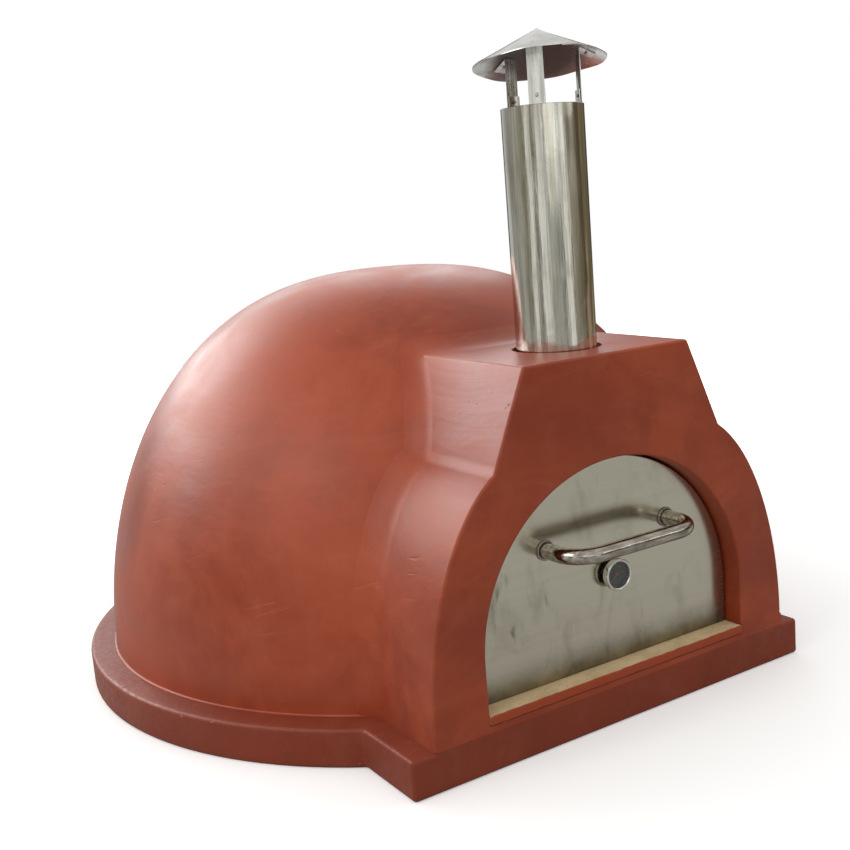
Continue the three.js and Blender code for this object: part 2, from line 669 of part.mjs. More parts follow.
// A needle on a hub, with a thin spindle that runs back through the dial.
function thermometerPointer() {
  const needle = new THREE.Shape();
  needle.moveTo(-1.1, -6);
  needle.lineTo(1.1, -6);
  needle.lineTo(0.4, 18);
  needle.lineTo(-0.4, 18);
  const blade = upright(needle, -12.8, -12, 4);
  const hub = barAlongY(2.6, -13.5, -11.5, 16);
  const spindle = barAlongY(0.8, -12, -7.3, 10);
  const joined = geometryOf(solid(blade).add(solid(hub)).add(solid(spindle)));
  const pointer = piece('thermometer_pointer', joined, 'pointer');
  pointer.rotation.y = THREE.MathUtils.degToRad(POINTER_REST_ANGLE);
  return pointer;
}

function thermometer() {
  const group = new THREE.Group();
  group.position.set(THERMOMETER_X, 0, THERMOMETER_HEIGHT);
  group.add(thermometerCase(), thermometerBezel(), thermometerGlass(), thermometerDial());
  group.add(thermometerStem(), thermometerNut(), thermometerPointer());
  return group;
}

function door() {
  const group = new THREE.Group();
  group.position.y = DOOR_FACE;
  group.add(doorTray(), doorInsulation(), doorBackSheet(), doorSeal(), handleTube());
  screwPlaces.forEach(([x, z], index) => group.add(doorScrew(index, x, z)));
  group.add(...handleRoot('left', handleRoots[0]), ...handleRoot('right', handleRoots[1]));
  group.add(thermometer());
  return group;
}

// ---------------------------------------------------------------- assembly

const oven = new THREE.Group();
oven.add(baseSlab(), floorInsulation(), ...hearthTiles(), mouthTile(), doorstepTile());
oven.add(refractoryDome(), insulationBlanket(), domeRender(), frontArch());
oven.add(fluePipe(), flueGasket(), cowl(), door());

export default oven;
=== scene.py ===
# Wood fired pizza oven: the visible pieces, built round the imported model.
#
# Metres. X runs across the oven, Y from its front to its back, and Z up.
# The origin is on the ground, straight below the middle of the dome.

import math

import bmesh
import bpy
from mathutils import Matrix, Vector, noise


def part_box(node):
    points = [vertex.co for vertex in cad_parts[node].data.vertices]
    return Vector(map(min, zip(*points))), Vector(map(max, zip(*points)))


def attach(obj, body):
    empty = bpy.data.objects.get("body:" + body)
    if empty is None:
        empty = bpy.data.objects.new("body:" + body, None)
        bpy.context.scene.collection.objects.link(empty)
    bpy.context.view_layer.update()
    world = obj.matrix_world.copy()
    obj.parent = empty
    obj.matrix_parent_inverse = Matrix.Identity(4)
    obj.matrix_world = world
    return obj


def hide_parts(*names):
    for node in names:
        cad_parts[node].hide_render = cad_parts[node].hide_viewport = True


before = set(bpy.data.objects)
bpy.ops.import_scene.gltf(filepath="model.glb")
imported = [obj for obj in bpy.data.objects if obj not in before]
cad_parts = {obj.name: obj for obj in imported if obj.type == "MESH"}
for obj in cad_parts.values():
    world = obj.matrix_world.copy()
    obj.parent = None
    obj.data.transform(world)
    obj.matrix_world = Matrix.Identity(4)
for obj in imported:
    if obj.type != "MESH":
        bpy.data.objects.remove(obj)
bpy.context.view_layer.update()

# ---------------------------------------------------------------- camera and studio
# A standing viewer to the left of the front, looking a little down at the oven. A window behind the
# oven lights it, with weak lamps to the left, front and right. Panels on the walls show in steel.

CAMERA_PLACE = Vector((-1.13345, -1.98130, 0.83155))
CAMERA_HEADING = 0.57748
CAMERA_DOWN = 0.18672
CAMERA_LEAN = 0.07544

camera_data = bpy.data.cameras.new("camera")
camera_data.sensor_width = 36
camera_data.lens = 48.81
camera_data.shift_x = -0.0516
camera_data.shift_y = -0.0009
camera = bpy.data.objects.new("camera", camera_data)
bpy.context.scene.collection.objects.link(camera)
camera.matrix_world = (
    Matrix.Translation(CAMERA_PLACE)
    @ Matrix.Rotation(-CAMERA_HEADING, 4, "Z")
    @ Matrix.Rotation(math.pi / 2 - CAMERA_DOWN, 4, "X")
    @ Matrix.Rotation(-CAMERA_LEAN, 4, "Z")
)
bpy.context.scene.camera = camera
bpy.context.scene.view_settings.view_transform = "Standard"


def add_node(tree, kind, settings=None, **inputs):
    """A node of that kind. An input is a value, or an output socket that is linked to it."""
    node = tree.nodes.new("ShaderNode" + kind)
    for name, value in (settings or {}).items():
        setattr(node, name, value)
    for name, value in inputs.items():
        plug(tree, value, node.inputs[name.replace("_", " ")])
    return node


def plug(tree, value, socket):
    if isinstance(value, bpy.types.NodeSocket):
        tree.links.new(value, socket)
    else:
        socket.default_value = value


def between(tree, value, low, high, start=0.0, end=1.0):
    """A value carried from one range to another, and held inside it."""
    node = add_node(tree, "MapRange", {"interpolation_type": "SMOOTHSTEP"})
    for socket, number in zip(node.inputs, (value, low, high, start, end)):
        plug(tree, number, socket)
    return node.outputs[0]


def combine(tree, operation, first, second):
    node = add_node(tree, "Math", {"operation": operation})
    plug(tree, first, node.inputs[0])
    plug(tree, second, node.inputs[1])
    return node.outputs[0]


def times(tree, first, second):
    return combine(tree, "MULTIPLY", first, second)


def plus(tree, first, second):
    return combine(tree, "ADD", first, second)


def blend_colours(tree, share, first, second, kind="MIX"):
    node = add_node(tree, "Mix", {"data_type": "RGBA", "blend_type": kind})
    plug(tree, share, node.inputs[0])
    plug(tree, first, node.inputs[6])
    plug(tree, second, node.inputs[7])
    return node.outputs[2]


def softbox(name, place, aim, width, height, power, colour=(1, 1, 1)):
    light = bpy.data.lights.new(name, "AREA")
    light.shape = "RECTANGLE"
    light.size = width
    light.size_y = height
    light.energy = power
    light.color = colour
    made = bpy.data.objects.new(name, light)
    made.visible_camera = False
    turn = (Vector(aim) - Vector(place)).to_track_quat("-Z", "Y")
    made.matrix_world = Matrix.Translation(place) @ turn.to_matrix().to_4x4()
    bpy.context.scene.collection.objects.link(made)
    return made


# The window behind the oven is one lamp that lights, and two that only the plaster mirrors.
window = softbox("window", (-0.4, 4.2, 2.75), (0, 0, 0.6), 8.6, 2.8, 110)
window.visible_glossy = False
window_sheen = softbox("window_sheen", (-2.1, 3.9, 2.60), (-0.2, 0, 0.6), 4.8, 2.2, 270)
window_edge = softbox("window_edge", (1.9, 3.9, 2.60), (0, 0, 0.6), 3.2, 2.2, 60)
plaster_pieces = bpy.data.collections.new("plaster_pieces")
for lamp in (window_sheen, window_edge):
    lamp.visible_diffuse = False
    lamp.light_linking.receiver_collection = plaster_pieces
softbox("left", (-2.6, -0.7, 2.3), (-0.2, -0.1, 0.3), 1.8, 1.5, 25, (1, 0.98, 0.96))
softbox("front", (-1.2, -4.2, 1.6), (0, -0.5, 0.35), 2.4, 1.6, 9, (1, 1, 0.96))
softbox("right", (2.7, -3.7, 1.64), (0, -0.6, 1.0), 1.8, 0.55, 4.5)

# Panels round the walls, as brightness at a bearing from the camera: minus is to its left.
WALL_PANELS = [
    (-180, (0.06, 0.06, 0.06)),
    (-162, (0.08, 0.08, 0.08)),
    (-155, (1.10, 1.10, 1.08)),
    (-134, (1.05, 1.05, 1.02)),
    (-127, (0.62, 0.61, 0.58)),
    (-106, (0.60, 0.58, 0.53)),
    (-98, (0.80, 0.79, 0.73)),
    (-80, (0.76, 0.75, 0.67)),
    (-73, (0.44, 0.41, 0.31)),
    (-63, (0.42, 0.39, 0.29)),
    (-58, (1.40, 1.38, 1.28)),
    (-45, (1.30, 1.28, 1.20)),
    (-40, (0.34, 0.32, 0.25)),
    (-34, (0.36, 0.35, 0.29)),
    (-30, (1.50, 1.50, 1.42)),
    (-12, (1.35, 1.35, 1.28)),
    (-6, (0.66, 0.66, 0.60)),
    (14, (0.80, 0.80, 0.74)),
    (24, (0.42, 0.42, 0.37)),
    (33, (0.44, 0.44, 0.38)),
    (38, (1.75, 1.75, 1.68)),
    (52, (1.60, 1.60, 1.52)),
    (57, (0.48, 0.45, 0.35)),
    (82, (0.50, 0.44, 0.33)),
    (92, (0.24, 0.19, 0.12)),
    (104, (0.16, 0.13, 0.08)),
    (114, (0.46, 0.36, 0.21)),
    (126, (0.26, 0.21, 0.13)),
    (140, (0.36, 0.30, 0.20)),
    (152, (0.09, 0.08, 0.07)),
    (180, (0.06, 0.06, 0.06)),
]
WALL_STRENGTH = 0.52
CEILING = (1.50, 1.50, 1.48, 1)
CEILING_STARTS = 0.24
CEILING_FADE = 0.15
BACKGROUND_WHITE = 1.0

world = bpy.data.worlds.new("studio")
bpy.context.scene.world = world
world.use_nodes = True
sky = world.node_tree
sky.nodes.clear()
bearing_of_camera = math.atan2(-math.cos(CAMERA_HEADING), -math.sin(CAMERA_HEADING))
toward = add_node(sky, "TexCoord").outputs["Generated"]
turned = add_node(sky, "Mapping", Vector=toward, Rotation=(0, 0, -bearing_of_camera))
around = add_node(sky, "TexGradient", {"gradient_type": "RADIAL"}, Vector=turned.outputs["Vector"])
panels = add_node(sky, "ValToRGB", Fac=around.outputs[1])
stops = panels.color_ramp.elements
stops.remove(stops[-1])
stops[0].position = 0
stops[0].color = (*WALL_PANELS[0][1], 1)
for bearing, colour in WALL_PANELS[1:]:
    stops.new(0.5 + bearing / 360).color = (*colour, 1)
upward = add_node(sky, "SeparateXYZ", Vector=toward).outputs["Z"]
overhead = between(sky, upward, CEILING_STARTS, CEILING_STARTS + CEILING_FADE)
room = blend_colours(sky, overhead, panels.outputs["Color"], CEILING)
walls = add_node(sky, "Background", Color=room, Strength=WALL_STRENGTH)
backdrop = add_node(sky, "Background", Color=(1, 1, 1, 1), Strength=BACKGROUND_WHITE)
choice = add_node(sky, "MixShader", Fac=add_node(sky, "LightPath").outputs["Is Camera Ray"])
plug(sky, walls.outputs[0], choice.inputs[1])
plug(sky, backdrop.outputs[0], choice.inputs[2])
add_node(sky, "OutputWorld", Surface=choice.outputs[0])

FLOOR_RADIUS = 5.0
FLOOR_PALE = 0.92
FLOOR_BOUNCE = 0.36
FLOOR_MIRRORED = 0.4
GLOW_STARTS = 0.7
GLOW_FULL = 2.6

floor_mesh = bmesh.new()
bmesh.ops.create_circle(floor_mesh, cap_ends=True, radius=FLOOR_RADIUS, segments=96)
floor_data = bpy.data.meshes.new("floor")
floor_mesh.to_mesh(floor_data)
floor_mesh.free()
floor = bpy.data.objects.new("floor", floor_data)
bpy.context.scene.collection.objects.link(floor)
floor_paint = bpy.data.materials.new("floor_paint")
floor_paint.use_nodes = True
paint = floor_paint.node_tree
shader = paint.nodes["Principled BSDF"]
path = add_node(paint, "LightPath").outputs
seen = path["Is Camera Ray"]
brightest = combine(paint, "MAXIMUM", seen, times(paint, path["Is Glossy Ray"], FLOOR_MIRRORED))
pale = plus(paint, times(paint, brightest, FLOOR_PALE - FLOOR_BOUNCE), FLOOR_BOUNCE)
distance = add_node(paint, "VectorMath", {"operation": "LENGTH"})
plug(paint, add_node(paint, "TexCoord").outputs["Object"], distance.inputs[0])
far = between(paint, distance.outputs["Value"], GLOW_STARTS, GLOW_FULL, 0.25, 1.0)
plug(paint, pale, shader.inputs["Base Color"])
plug(paint, times(paint, far, seen), shader.inputs["Emission Strength"])
plug(paint, (1, 1, 1, 1), shader.inputs["Emission Color"])
plug(paint, 0.9, shader.inputs["Roughness"])
floor_data.materials.append(floor_paint)

# ---------------------------------------------------------------- slab
# The oven stands on a cast concrete slab: a round with a square block under the front arch. It is
# painted the colour of the plaster, and its edges are softened by the float and a little chipped.

slab_low, slab_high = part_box("base_slab")
SLAB_ROUND = slab_high.y
FRONT = slab_low.y
SLAB_HALF_FRONT = 0.404
RECESS_RADIUS = 0.4665
RECESS_FLOOR = 0.029
SLAB_EDGE = 0.006
SLAB_BAND = 0.975
ARCH_HALF_FOOT = 0.157 + 0.206


def arc(centre, radii, start, end, steps):
    """Points along part of an ellipse in X and the second direction, angles in radians."""
    turns = [start + (end - start) * i / steps for i in range(steps + 1)]
    return [(centre[0] + radii[0] * math.cos(t), centre[1] + radii[1] * math.sin(t)) for t in turns]


def draw_loop(bm, points):
    """A closed line through the points, as edges."""
    corners = [bm.verts.new(point) for point in points]
    return [bm.edges.new(pair) for pair in zip(corners, corners[1:] + corners[:1])]


def pull(bm, edges, offset, steps=1):
    """Draws a line of edges out into a wall, and returns the edges at its far end."""
    for _ in range(steps):
        made = bmesh.ops.extrude_edge_only(bm, edges=edges)["geom"]
        corners = [item for item in made if isinstance(item, bmesh.types.BMVert)]
        edges = [item for item in made if isinstance(item, bmesh.types.BMEdge)]
        edges = [edge for edge in edges if all(corner in corners for corner in edge.verts)]
        bmesh.ops.translate(bm, verts=corners, vec=Vector(offset) / steps)
    return edges


def soften(bm, width, angle=35, segments=2, chosen=lambda edge: True):
    """Rounds the edges that turn by more than an angle in degrees, and marks them as worn."""
    worn = bm.verts.layers.float.get("worn") or bm.verts.layers.float.new("worn")
    sharp = [
        edge
        for edge in bm.edges
        if edge.is_manifold and edge.calc_face_angle(0) > math.radians(angle) and chosen(edge)
    ]
    made = bmesh.ops.bevel(
        bm, geom=sharp, offset=width, offset_type="OFFSET", segments=segments,
        profile=0.5, affect="EDGES", material=-1, clamp_overlap=True,
    )
    for vertex in made["verts"]:
        vertex[worn] = 1


# The plaster ripples in the same places each time.
noise.seed_set(5)


def hand_finish(bm):
    """Moves a surface by a millimetre or two, as plaster laid by hand does. Front and foot stay truer."""
    for vertex in bm.verts:
        behind = min(1, max(0, (vertex.co.y - FRONT) / 0.12))
        above = min(1, max(0, (vertex.co.z - slab_high.z) / 0.05))
        vertex.co += noise.noise_vector(vertex.co * 3.1) * (0.0006 + 0.0022 * behind) * above


def add_piece(name, bm, material, body, slot, *nodes, smooth_below=38):
    """Makes the finished mesh an object that rides on a body and stands for those nodes."""
    bmesh.ops.recalc_face_normals(bm, faces=bm.faces)
    mesh = bpy.data.meshes.new(name)
    bm.to_mesh(mesh)
    bm.free()
    mesh.materials.append(material)
    mesh.polygons.foreach_set("use_smooth", [True] * len(mesh.polygons))
    mesh.set_sharp_from_angle(angle=math.radians(smooth_below))
    made = bpy.data.objects.new(name, mesh)
    bpy.context.scene.collection.objects.link(made)
    even = made.modifiers.new("even_shading", "WEIGHTED_NORMAL")
    even.keep_sharp = True
    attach(made, body)
    if nodes:
        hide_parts(*nodes)
    return made


def new_finish(name):
    """A material with its node tree and its shader."""
    finish = bpy.data.materials.new(name)
    finish.use_nodes = True
    return finish, finish.node_tree, finish.node_tree.nodes["Principled BSDF"]


def new_effect(name, inputs, outputs):
    """An empty node group with named sockets, and its two end nodes."""
    group = bpy.data.node_groups.new(name, "ShaderNodeTree")
    for label, kind, value in inputs:
        socket = group.interface.new_socket(name=label, in_out="INPUT", socket_type="NodeSocket" + kind)
        if value is not None:
            socket.default_value = value
    for label, kind in outputs:
        group.interface.new_socket(name=label, in_out="OUTPUT", socket_type="NodeSocket" + kind)
    return group, group.nodes.new("NodeGroupInput").outputs, group.nodes.new("NodeGroupOutput").inputs


def use_effect(tree, group, **inputs):
    node = add_node(tree, "Group", {"node_tree": group})
    for name, value in inputs.items():
        plug(tree, value, node.inputs[name.replace("_", " ")])
    return node.outputs


def place_on_piece(tree, scale=(1, 1, 1), rotation=(0, 0, 0), centre=(0, 0, 0)):
    """The place on the piece, moved to a centre, then turned, then stretched."""
    spot = add_node(tree, "TexCoord").outputs["Object"]
    moved = add_node(tree, "Mapping", Vector=spot, Location=tuple(-c for c in centre))
    turned = add_node(tree, "Mapping", Vector=moved.outputs["Vector"], Rotation=rotation)
    return add_node(tree, "Mapping", Vector=turned.outputs["Vector"], Scale=scale).outputs["Vector"]


def grain(tree, vector, scale, detail=3, roughness=0.55, distortion=0.0):
    node = add_node(tree, "TexNoise", Vector=vector, Scale=scale, Detail=detail, Roughness=roughness)
    node.inputs["Distortion"].default_value = distortion
    return node.outputs[0]


def less(tree, first, second):
    return combine(tree, "SUBTRACT", first, second)


def dress(tree, shader, tone, rough, relief, depth):
    """Joins a finish's colour, roughness and relief to its shader."""
    plug(tree, tone, shader.inputs["Base Color"])
    plug(tree, rough, shader.inputs["Roughness"])
    bump = add_node(tree, "Bump", Height=relief, Distance=depth, Strength=1.0)
    plug(tree, bump.outputs["Normal"], shader.inputs["Normal"])


# Trowel work: broad sweeps, patches of thicker and thinner coat, and small open pores.
trowel_work, trowel_in, trowel_out = new_effect(
    "trowel_work", [("Vector", "Vector", None)],
    [("Sweeps", "Float"), ("Patches", "Float"), ("Pores", "Float"), ("Fine", "Float")],
)
bent = add_node(trowel_work, "TexNoise", Vector=trowel_in["Vector"], Scale=1.3, Detail=1.0).outputs["Color"]
swung = add_node(trowel_work, "VectorMath", {"operation": "ADD"})
plug(trowel_work, trowel_in["Vector"], swung.inputs[0])
plug(trowel_work, bent, swung.inputs[1])
drawn = add_node(trowel_work, "Mapping", Vector=swung.outputs[0], Scale=(4, 4, 13), Rotation=(0.3, 0.25, 0))
plug(trowel_work, grain(trowel_work, drawn.outputs["Vector"], 1.0, 4, 0.6), trowel_out["Sweeps"])
plug(trowel_work, grain(trowel_work, trowel_in["Vector"], 4.5, 5, 0.6, 0.6), trowel_out["Patches"])
cells = add_node(trowel_work, "TexVoronoi", Vector=trowel_in["Vector"], Scale=44.0, Randomness=1.0)
open_pore = between(trowel_work, cells.outputs["Distance"], 0.05, 0.10, 1.0, 0.0)
rare = between(trowel_work, grain(trowel_work, trowel_in["Vector"], 6.0, 2), 0.56, 0.66)
plug(trowel_work, times(trowel_work, open_pore, rare), trowel_out["Pores"])
plug(trowel_work, grain(trowel_work, trowel_in["Vector"], 95.0, 4, 0.65), trowel_out["Fine"])

# Pale dust that lies in patches on a surface.
dusting, dust_in, dust_out = new_effect(
    "dusting",
    [("Vector", "Vector", None), ("Color", "Color", None), ("Dust", "Color", None), ("Amount", "Float", 0.2)],
    [("Color", "Color")],
)
speckle = between(dusting, grain(dusting, dust_in["Vector"], 14.0, 6, 0.7), 0.45, 0.72)
lying = times(dusting, speckle, dust_in["Amount"])
plug(dusting, blend_colours(dusting, lying, dust_in["Color"], dust_in["Dust"]), dust_out["Color"])

SHEEN_LEVEL = 0.34

painted_concrete, tree, shader = new_finish("painted_concrete")
spot = place_on_piece(tree)
trowel = use_effect(tree, trowel_work, Vector=spot)
tone = blend_colours(tree, trowel["Patches"], (0.180, 0.027, 0.010, 1), (0.285, 0.048, 0.019, 1))
worn_edge = add_node(tree, "Attribute", {"attribute_name": "worn"}).outputs["Fac"]
chips = between(tree, grain(tree, spot, 42.0, 5, 0.7), 0.61, 0.69)
bare = times(tree, between(tree, worn_edge, 0.90, 1.0), chips)
tone = blend_colours(tree, times(tree, bare, 0.55), tone, (0.48, 0.17, 0.11, 1))
tone = use_effect(tree, dusting, Vector=spot, Color=tone, Dust=(0.42, 0.15, 0.09, 1), Amount=0.14)["Color"]
shader.inputs["Specular IOR Level"].default_value = SHEEN_LEVEL
relief = plus(tree, times(tree, trowel["Patches"], 1.2), trowel["Sweeps"])
relief = less(tree, relief, times(tree, bare, 0.8))
relief = plus(tree, relief, times(tree, trowel["Fine"], 0.35))
rough = between(tree, trowel["Fine"], 0.3, 0.7, 0.42, 0.60)
dress(tree, shader, tone, rough, relief, 0.0012)

bm = bmesh.new()
corner = math.acos(SLAB_HALF_FRONT / SLAB_ROUND)
under_arch = [(ARCH_HALF_FOOT * (i / 12 - 1), FRONT) for i in range(25)]
side = [(SLAB_HALF_FRONT, FRONT - (FRONT + SLAB_ROUND * math.sin(corner)) * i / 4) for i in range(4)]
rim = [(-SLAB_HALF_FRONT, FRONT)] + under_arch + side
rim += arc((0, 0), (SLAB_ROUND, SLAB_ROUND), -corner, math.pi + corner, 110)
rim += [(-x, y) for x, y in side[:0:-1]]
top_edge = draw_loop(bm, [(x, y, slab_high.z) for x, y in rim])
bottom_edge = pull(bm, top_edge, (0, 0, -slab_high.z), steps=5)
bmesh.ops.contextual_create(bm, geom=bottom_edge)
pit_edge = draw_loop(bm, [(*(Vector(point).normalized() * RECESS_RADIUS), slab_high.z) for point in rim])
band_edge = draw_loop(bm, [(SLAB_BAND * x, SLAB_BAND * y, slab_high.z) for x, y in rim])
bmesh.ops.bridge_loops(bm, edges=top_edge + band_edge)
bmesh.ops.bridge_loops(bm, edges=band_edge + pit_edge)
pit_floor = pull(bm, pit_edge, (0, 0, RECESS_FLOOR - slab_high.z))
bmesh.ops.contextual_create(bm, geom=pit_floor)
bmesh.ops.recalc_face_normals(bm, faces=bm.faces)


def is_slab_corner(edge):
    """Outer corners only. Where the front arch stands on the slab their faces run on as one."""
    below = all(v.co.y < FRONT + 0.001 and abs(v.co.x) < ARCH_HALF_FOOT + 0.001 for v in edge.verts)
    top = all(v.co.z > slab_high.z - 0.001 for v in edge.verts)
    return all(v.co.xy.length > 0.5 for v in edge.verts) and not (below and top)


soften(bm, SLAB_EDGE, segments=3, chosen=is_slab_corner)
slab = add_piece("slab", bm, painted_concrete, "oven", "painted_slab", "base_slab")

# ---------------------------------------------------------------- hearth
# Nine square fire tiles, cut to a circle, on an insulating board in the slab's pit. One more tile
# runs through the mouth, and one lies in front of the door with its front edge painted over.

TILE_EDGE = 0.0015


def add_softened(name, node, width, material, body, slot, segments=2, smooth_below=38):
    """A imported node's own shape with its edges rounded, as a finished piece."""
    bm = bmesh.new()
    bm.from_mesh(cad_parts[node].data)
    bmesh.ops.remove_doubles(bm, verts=bm.verts, dist=0.00002)
    bmesh.ops.dissolve_limit(bm, angle_limit=math.radians(1), verts=bm.verts, edges=bm.edges)
    bmesh.ops.recalc_face_normals(bm, faces=bm.faces)
    soften(bm, width, segments=segments)
    add_piece(name, bm, material, body, slot, node, smooth_below=smooth_below)


# Soot and ash, thickest where a fire lies.
sooting, soot_in, soot_out = new_effect(
    "sooting", [("Vector", "Vector", None), ("Color", "Color", None), ("Amount", "Float", 0.5)],
    [("Color", "Color"), ("Mask", "Float")],
)
cloud = grain(sooting, soot_in["Vector"], 5.0, 6, 0.65, 0.8)
soot = times(sooting, between(sooting, cloud, 0.25, 0.75), soot_in["Amount"])
plug(sooting, blend_colours(sooting, soot, soot_in["Color"], (0.018, 0.016, 0.014, 1)), soot_out["Color"])
plug(sooting, soot, soot_out["Mask"])


def fire_clay(name, pale, dark, soot_amount, painted_front=None):
    """Pressed fire clay: a sandy body with dark specks, soot, and paint on one edge if it is asked for, with
    a painted shadow line along the paint's lower edge.
    """
    finish, tree, shader = new_finish(name)
    spot = place_on_piece(tree)
    tone = blend_colours(tree, between(tree, grain(tree, spot, 18.0, 6, 0.65), 0.3, 0.7), dark, pale)
    specks = between(tree, grain(tree, spot, 420.0, 2), 0.62, 0.70)
    tone = blend_colours(tree, times(tree, specks, 0.6), tone, (0.22, 0.13, 0.07, 1))
    tone = use_effect(tree, sooting, Vector=spot, Color=tone, Amount=soot_amount)["Color"]
    rough = 0.85
    if painted_front:
        parts = add_node(tree, "SeparateXYZ", Vector=spot).outputs
        ragged = times(tree, grain(tree, spot, 60.0, 5, 0.7), 0.006)
        reach = plus(tree, parts["Y"], ragged)
        coat = between(tree, reach, FRONT + 0.0025, FRONT + 0.0045, 1.0, 0.0)
        # Painted shadow: a darker ragged band along the painted front's lower edge stands for the shadow line
        # at the joint below the tile.
        band_wobble = times(tree, grain(tree, spot, 38.0, 5, 0.75), 0.006)
        low_line = plus(tree, parts["Z"], band_wobble)
        shadow_band = between(tree, low_line, 0.0785, 0.0800, 1.0, 0.0)
        tone = blend_colours(tree, coat, tone, painted_front)
        tone = blend_colours(tree, times(tree, coat, shadow_band), tone, (0.16, 0.030, 0.014, 1))
        rough = between(tree, coat, 0.0, 1.0, 0.85, 0.5)
    shader.inputs["Specular IOR Level"].default_value = SHEEN_LEVEL
    relief = plus(tree, grain(tree, spot, 220.0, 4, 0.6), times(tree, specks, -0.5))
    dress(tree, shader, tone, rough, relief, 0.0006)
    return finish


hearth_clay = fire_clay("hearth_clay", (0.60, 0.47, 0.30, 1), (0.38, 0.26, 0.15, 1), 0.75)
doorstep_clay = fire_clay(
    "doorstep_clay", (0.78, 0.60, 0.36, 1), (0.62, 0.45, 0.25, 1), 0.04, painted_front=(0.37, 0.058, 0.017, 1)
)
for row in ("front", "middle", "back"):
    for column in ("left", "centre", "right"):
        tile = f"tile_{row}_{column}"
        add_softened(f"floor_{tile}", f"hearth_{tile}", TILE_EDGE, hearth_clay, "oven", "fire_tile")
add_softened("tunnel_tile", "mouth_tile", TILE_EDGE, hearth_clay, "oven", "fire_tile")
add_softened("doorstep", "doorstep_tile", 0.0018, doorstep_clay, "oven", "fire_tile", segments=3)

# ---------------------------------------------------------------- insulation
# Hidden insulation: a ceramic fibre blanket over the dome, a board under the hearth, and a pad
# inside the door. All of it is shut in by other pieces.

ceramic_fibre, tree, shader = new_finish("ceramic_fibre")
spot = place_on_piece(tree)
fibres = grain(tree, place_on_piece(tree, scale=(60, 60, 400)), 3.0, 4, 0.7)
tone = blend_colours(tree, fibres, (0.62, 0.60, 0.55, 1), (0.86, 0.85, 0.81, 1))
tone = use_effect(tree, sooting, Vector=spot, Color=tone, Amount=0.15)["Color"]
dress(tree, shader, tone, 0.95, fibres, 0.0015)


def coat_nodes(finish, *names):
    """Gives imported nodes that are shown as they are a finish."""
    for name in names:
        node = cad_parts[name]
        node.data.materials.clear()
        node.data.materials.append(finish)


coat_nodes(ceramic_fibre, "insulation_blanket", "floor_insulation_board", "door_insulation")

# ---------------------------------------------------------------- refractory dome
# The oven proper: a dome of cast refractory with an arched way in at the front. Its inside is
# what the fire touches, so it is clouded with soot.

HAIR_GAP = 0.0003
DOME_FOOT = slab_high.z + HAIR_GAP
DOME_RADIUS = 0.598
DOME_HEIGHT = 0.664
ROUND_ACROSS = 2.49
ROUND_UP = 1.886
REFRACTORY_DEPTH = 0.065
REFRACTORY_THICKNESS = 0.060
MOUTH_SPRING = 0.169
MOUTH_FLOOR = 0.0743
TUNNEL_HALF_WIDTH = 0.240
ARCH_STEPS = 40


def dome_outline(depth, steps):
    """Radius and height up the dome's outline, from its foot to its crown, at a depth below its skin."""
    points = []
    for i in range(steps + 1):
        turn = i / steps * math.pi / 2
        radius = (DOME_RADIUS - depth) * max(0, math.cos(turn)) ** (2 / ROUND_ACROSS)
        points.append((radius, DOME_FOOT + (DOME_HEIGHT - depth) * math.sin(turn) ** (2 / ROUND_UP)))
    points[-1] = (0, points[-1][1])
    return points


def turn_profile(points, segments, centre=(0, 0), closed=False):
    """Spins a line of radius and height points once round an upright axis."""
    bm = bmesh.new()
    corners = [bm.verts.new((radius + centre[0], centre[1], height)) for radius, height in points]
    pairs = list(zip(corners, corners[1:])) + ([(corners[-1], corners[0])] if closed else [])
    edges = [bm.edges.new(pair) for pair in pairs]
    bmesh.ops.spin(
        bm, geom=corners + edges, cent=(*centre, 0), axis=(0, 0, 1), dvec=(0, 0, 0),
        angle=math.tau, steps=segments, use_merge=True, use_duplicate=False,
    )
    bmesh.ops.remove_doubles(bm, verts=bm.verts, dist=0.000001)
    bmesh.ops.recalc_face_normals(bm, faces=bm.faces)
    return bm


def archway(half_width, floor, y):
    """A doorway's outline: straight sides, then half a circle."""
    points = [(-half_width, floor), (half_width, floor)]
    points += arc((0, MOUTH_SPRING), (half_width, half_width), 0, math.pi, 2 * ARCH_STEPS)
    return [(x, y, z) for x, z in points]


def loft_block(front_points, back_y):
    """A solid whose outline is drawn at the front and drawn out to a Y further back."""
    bm = bmesh.new()
    front_edge = draw_loop(bm, front_points)
    back_edge = pull(bm, front_edge, (0, back_y - front_points[0][1], 0))
    bmesh.ops.contextual_create(bm, geom=front_edge)
    bmesh.ops.contextual_create(bm, geom=back_edge)
    bmesh.ops.recalc_face_normals(bm, faces=bm.faces)
    return bm


def as_tool(name, bm):
    """A mesh that is only used to cut another."""
    mesh = bpy.data.meshes.new(name)
    bm.to_mesh(mesh)
    bm.free()
    tool = bpy.data.objects.new(name, mesh)
    bpy.context.scene.collection.objects.link(tool)
    return tool


def cut_away(bm, *tools):
    """The mesh with the tools' shapes taken out of it."""
    blank = as_tool("blank", bm)
    for tool in tools:
        cut = blank.modifiers.new("cut", "BOOLEAN")
        cut.operation = "DIFFERENCE"
        cut.solver = "EXACT"
        cut.object = tool
    result = blank.evaluated_get(bpy.context.evaluated_depsgraph_get()).to_mesh()
    left = bmesh.new()
    left.from_mesh(result)
    for used in (blank, *tools):
        bpy.data.objects.remove(used)
    bmesh.ops.remove_doubles(left, verts=left.verts, dist=0.00001)
    return left


refractory_cast, tree, shader = new_finish("refractory_cast")
spot = place_on_piece(tree)
tone = blend_colours(tree, grain(tree, spot, 9.0, 6, 0.65), (0.30, 0.22, 0.15, 1), (0.52, 0.42, 0.31, 1))
height = add_node(tree, "SeparateXYZ", Vector=spot).outputs["Z"]
blackened = between(tree, height, 0.10, 0.45, 0.55, 1.0)
sooty = use_effect(tree, sooting, Vector=spot, Color=tone, Amount=blackened)
dress(tree, shader, sooty["Color"], 0.9, grain(tree, spot, 60.0, 6, 0.7), 0.0016)

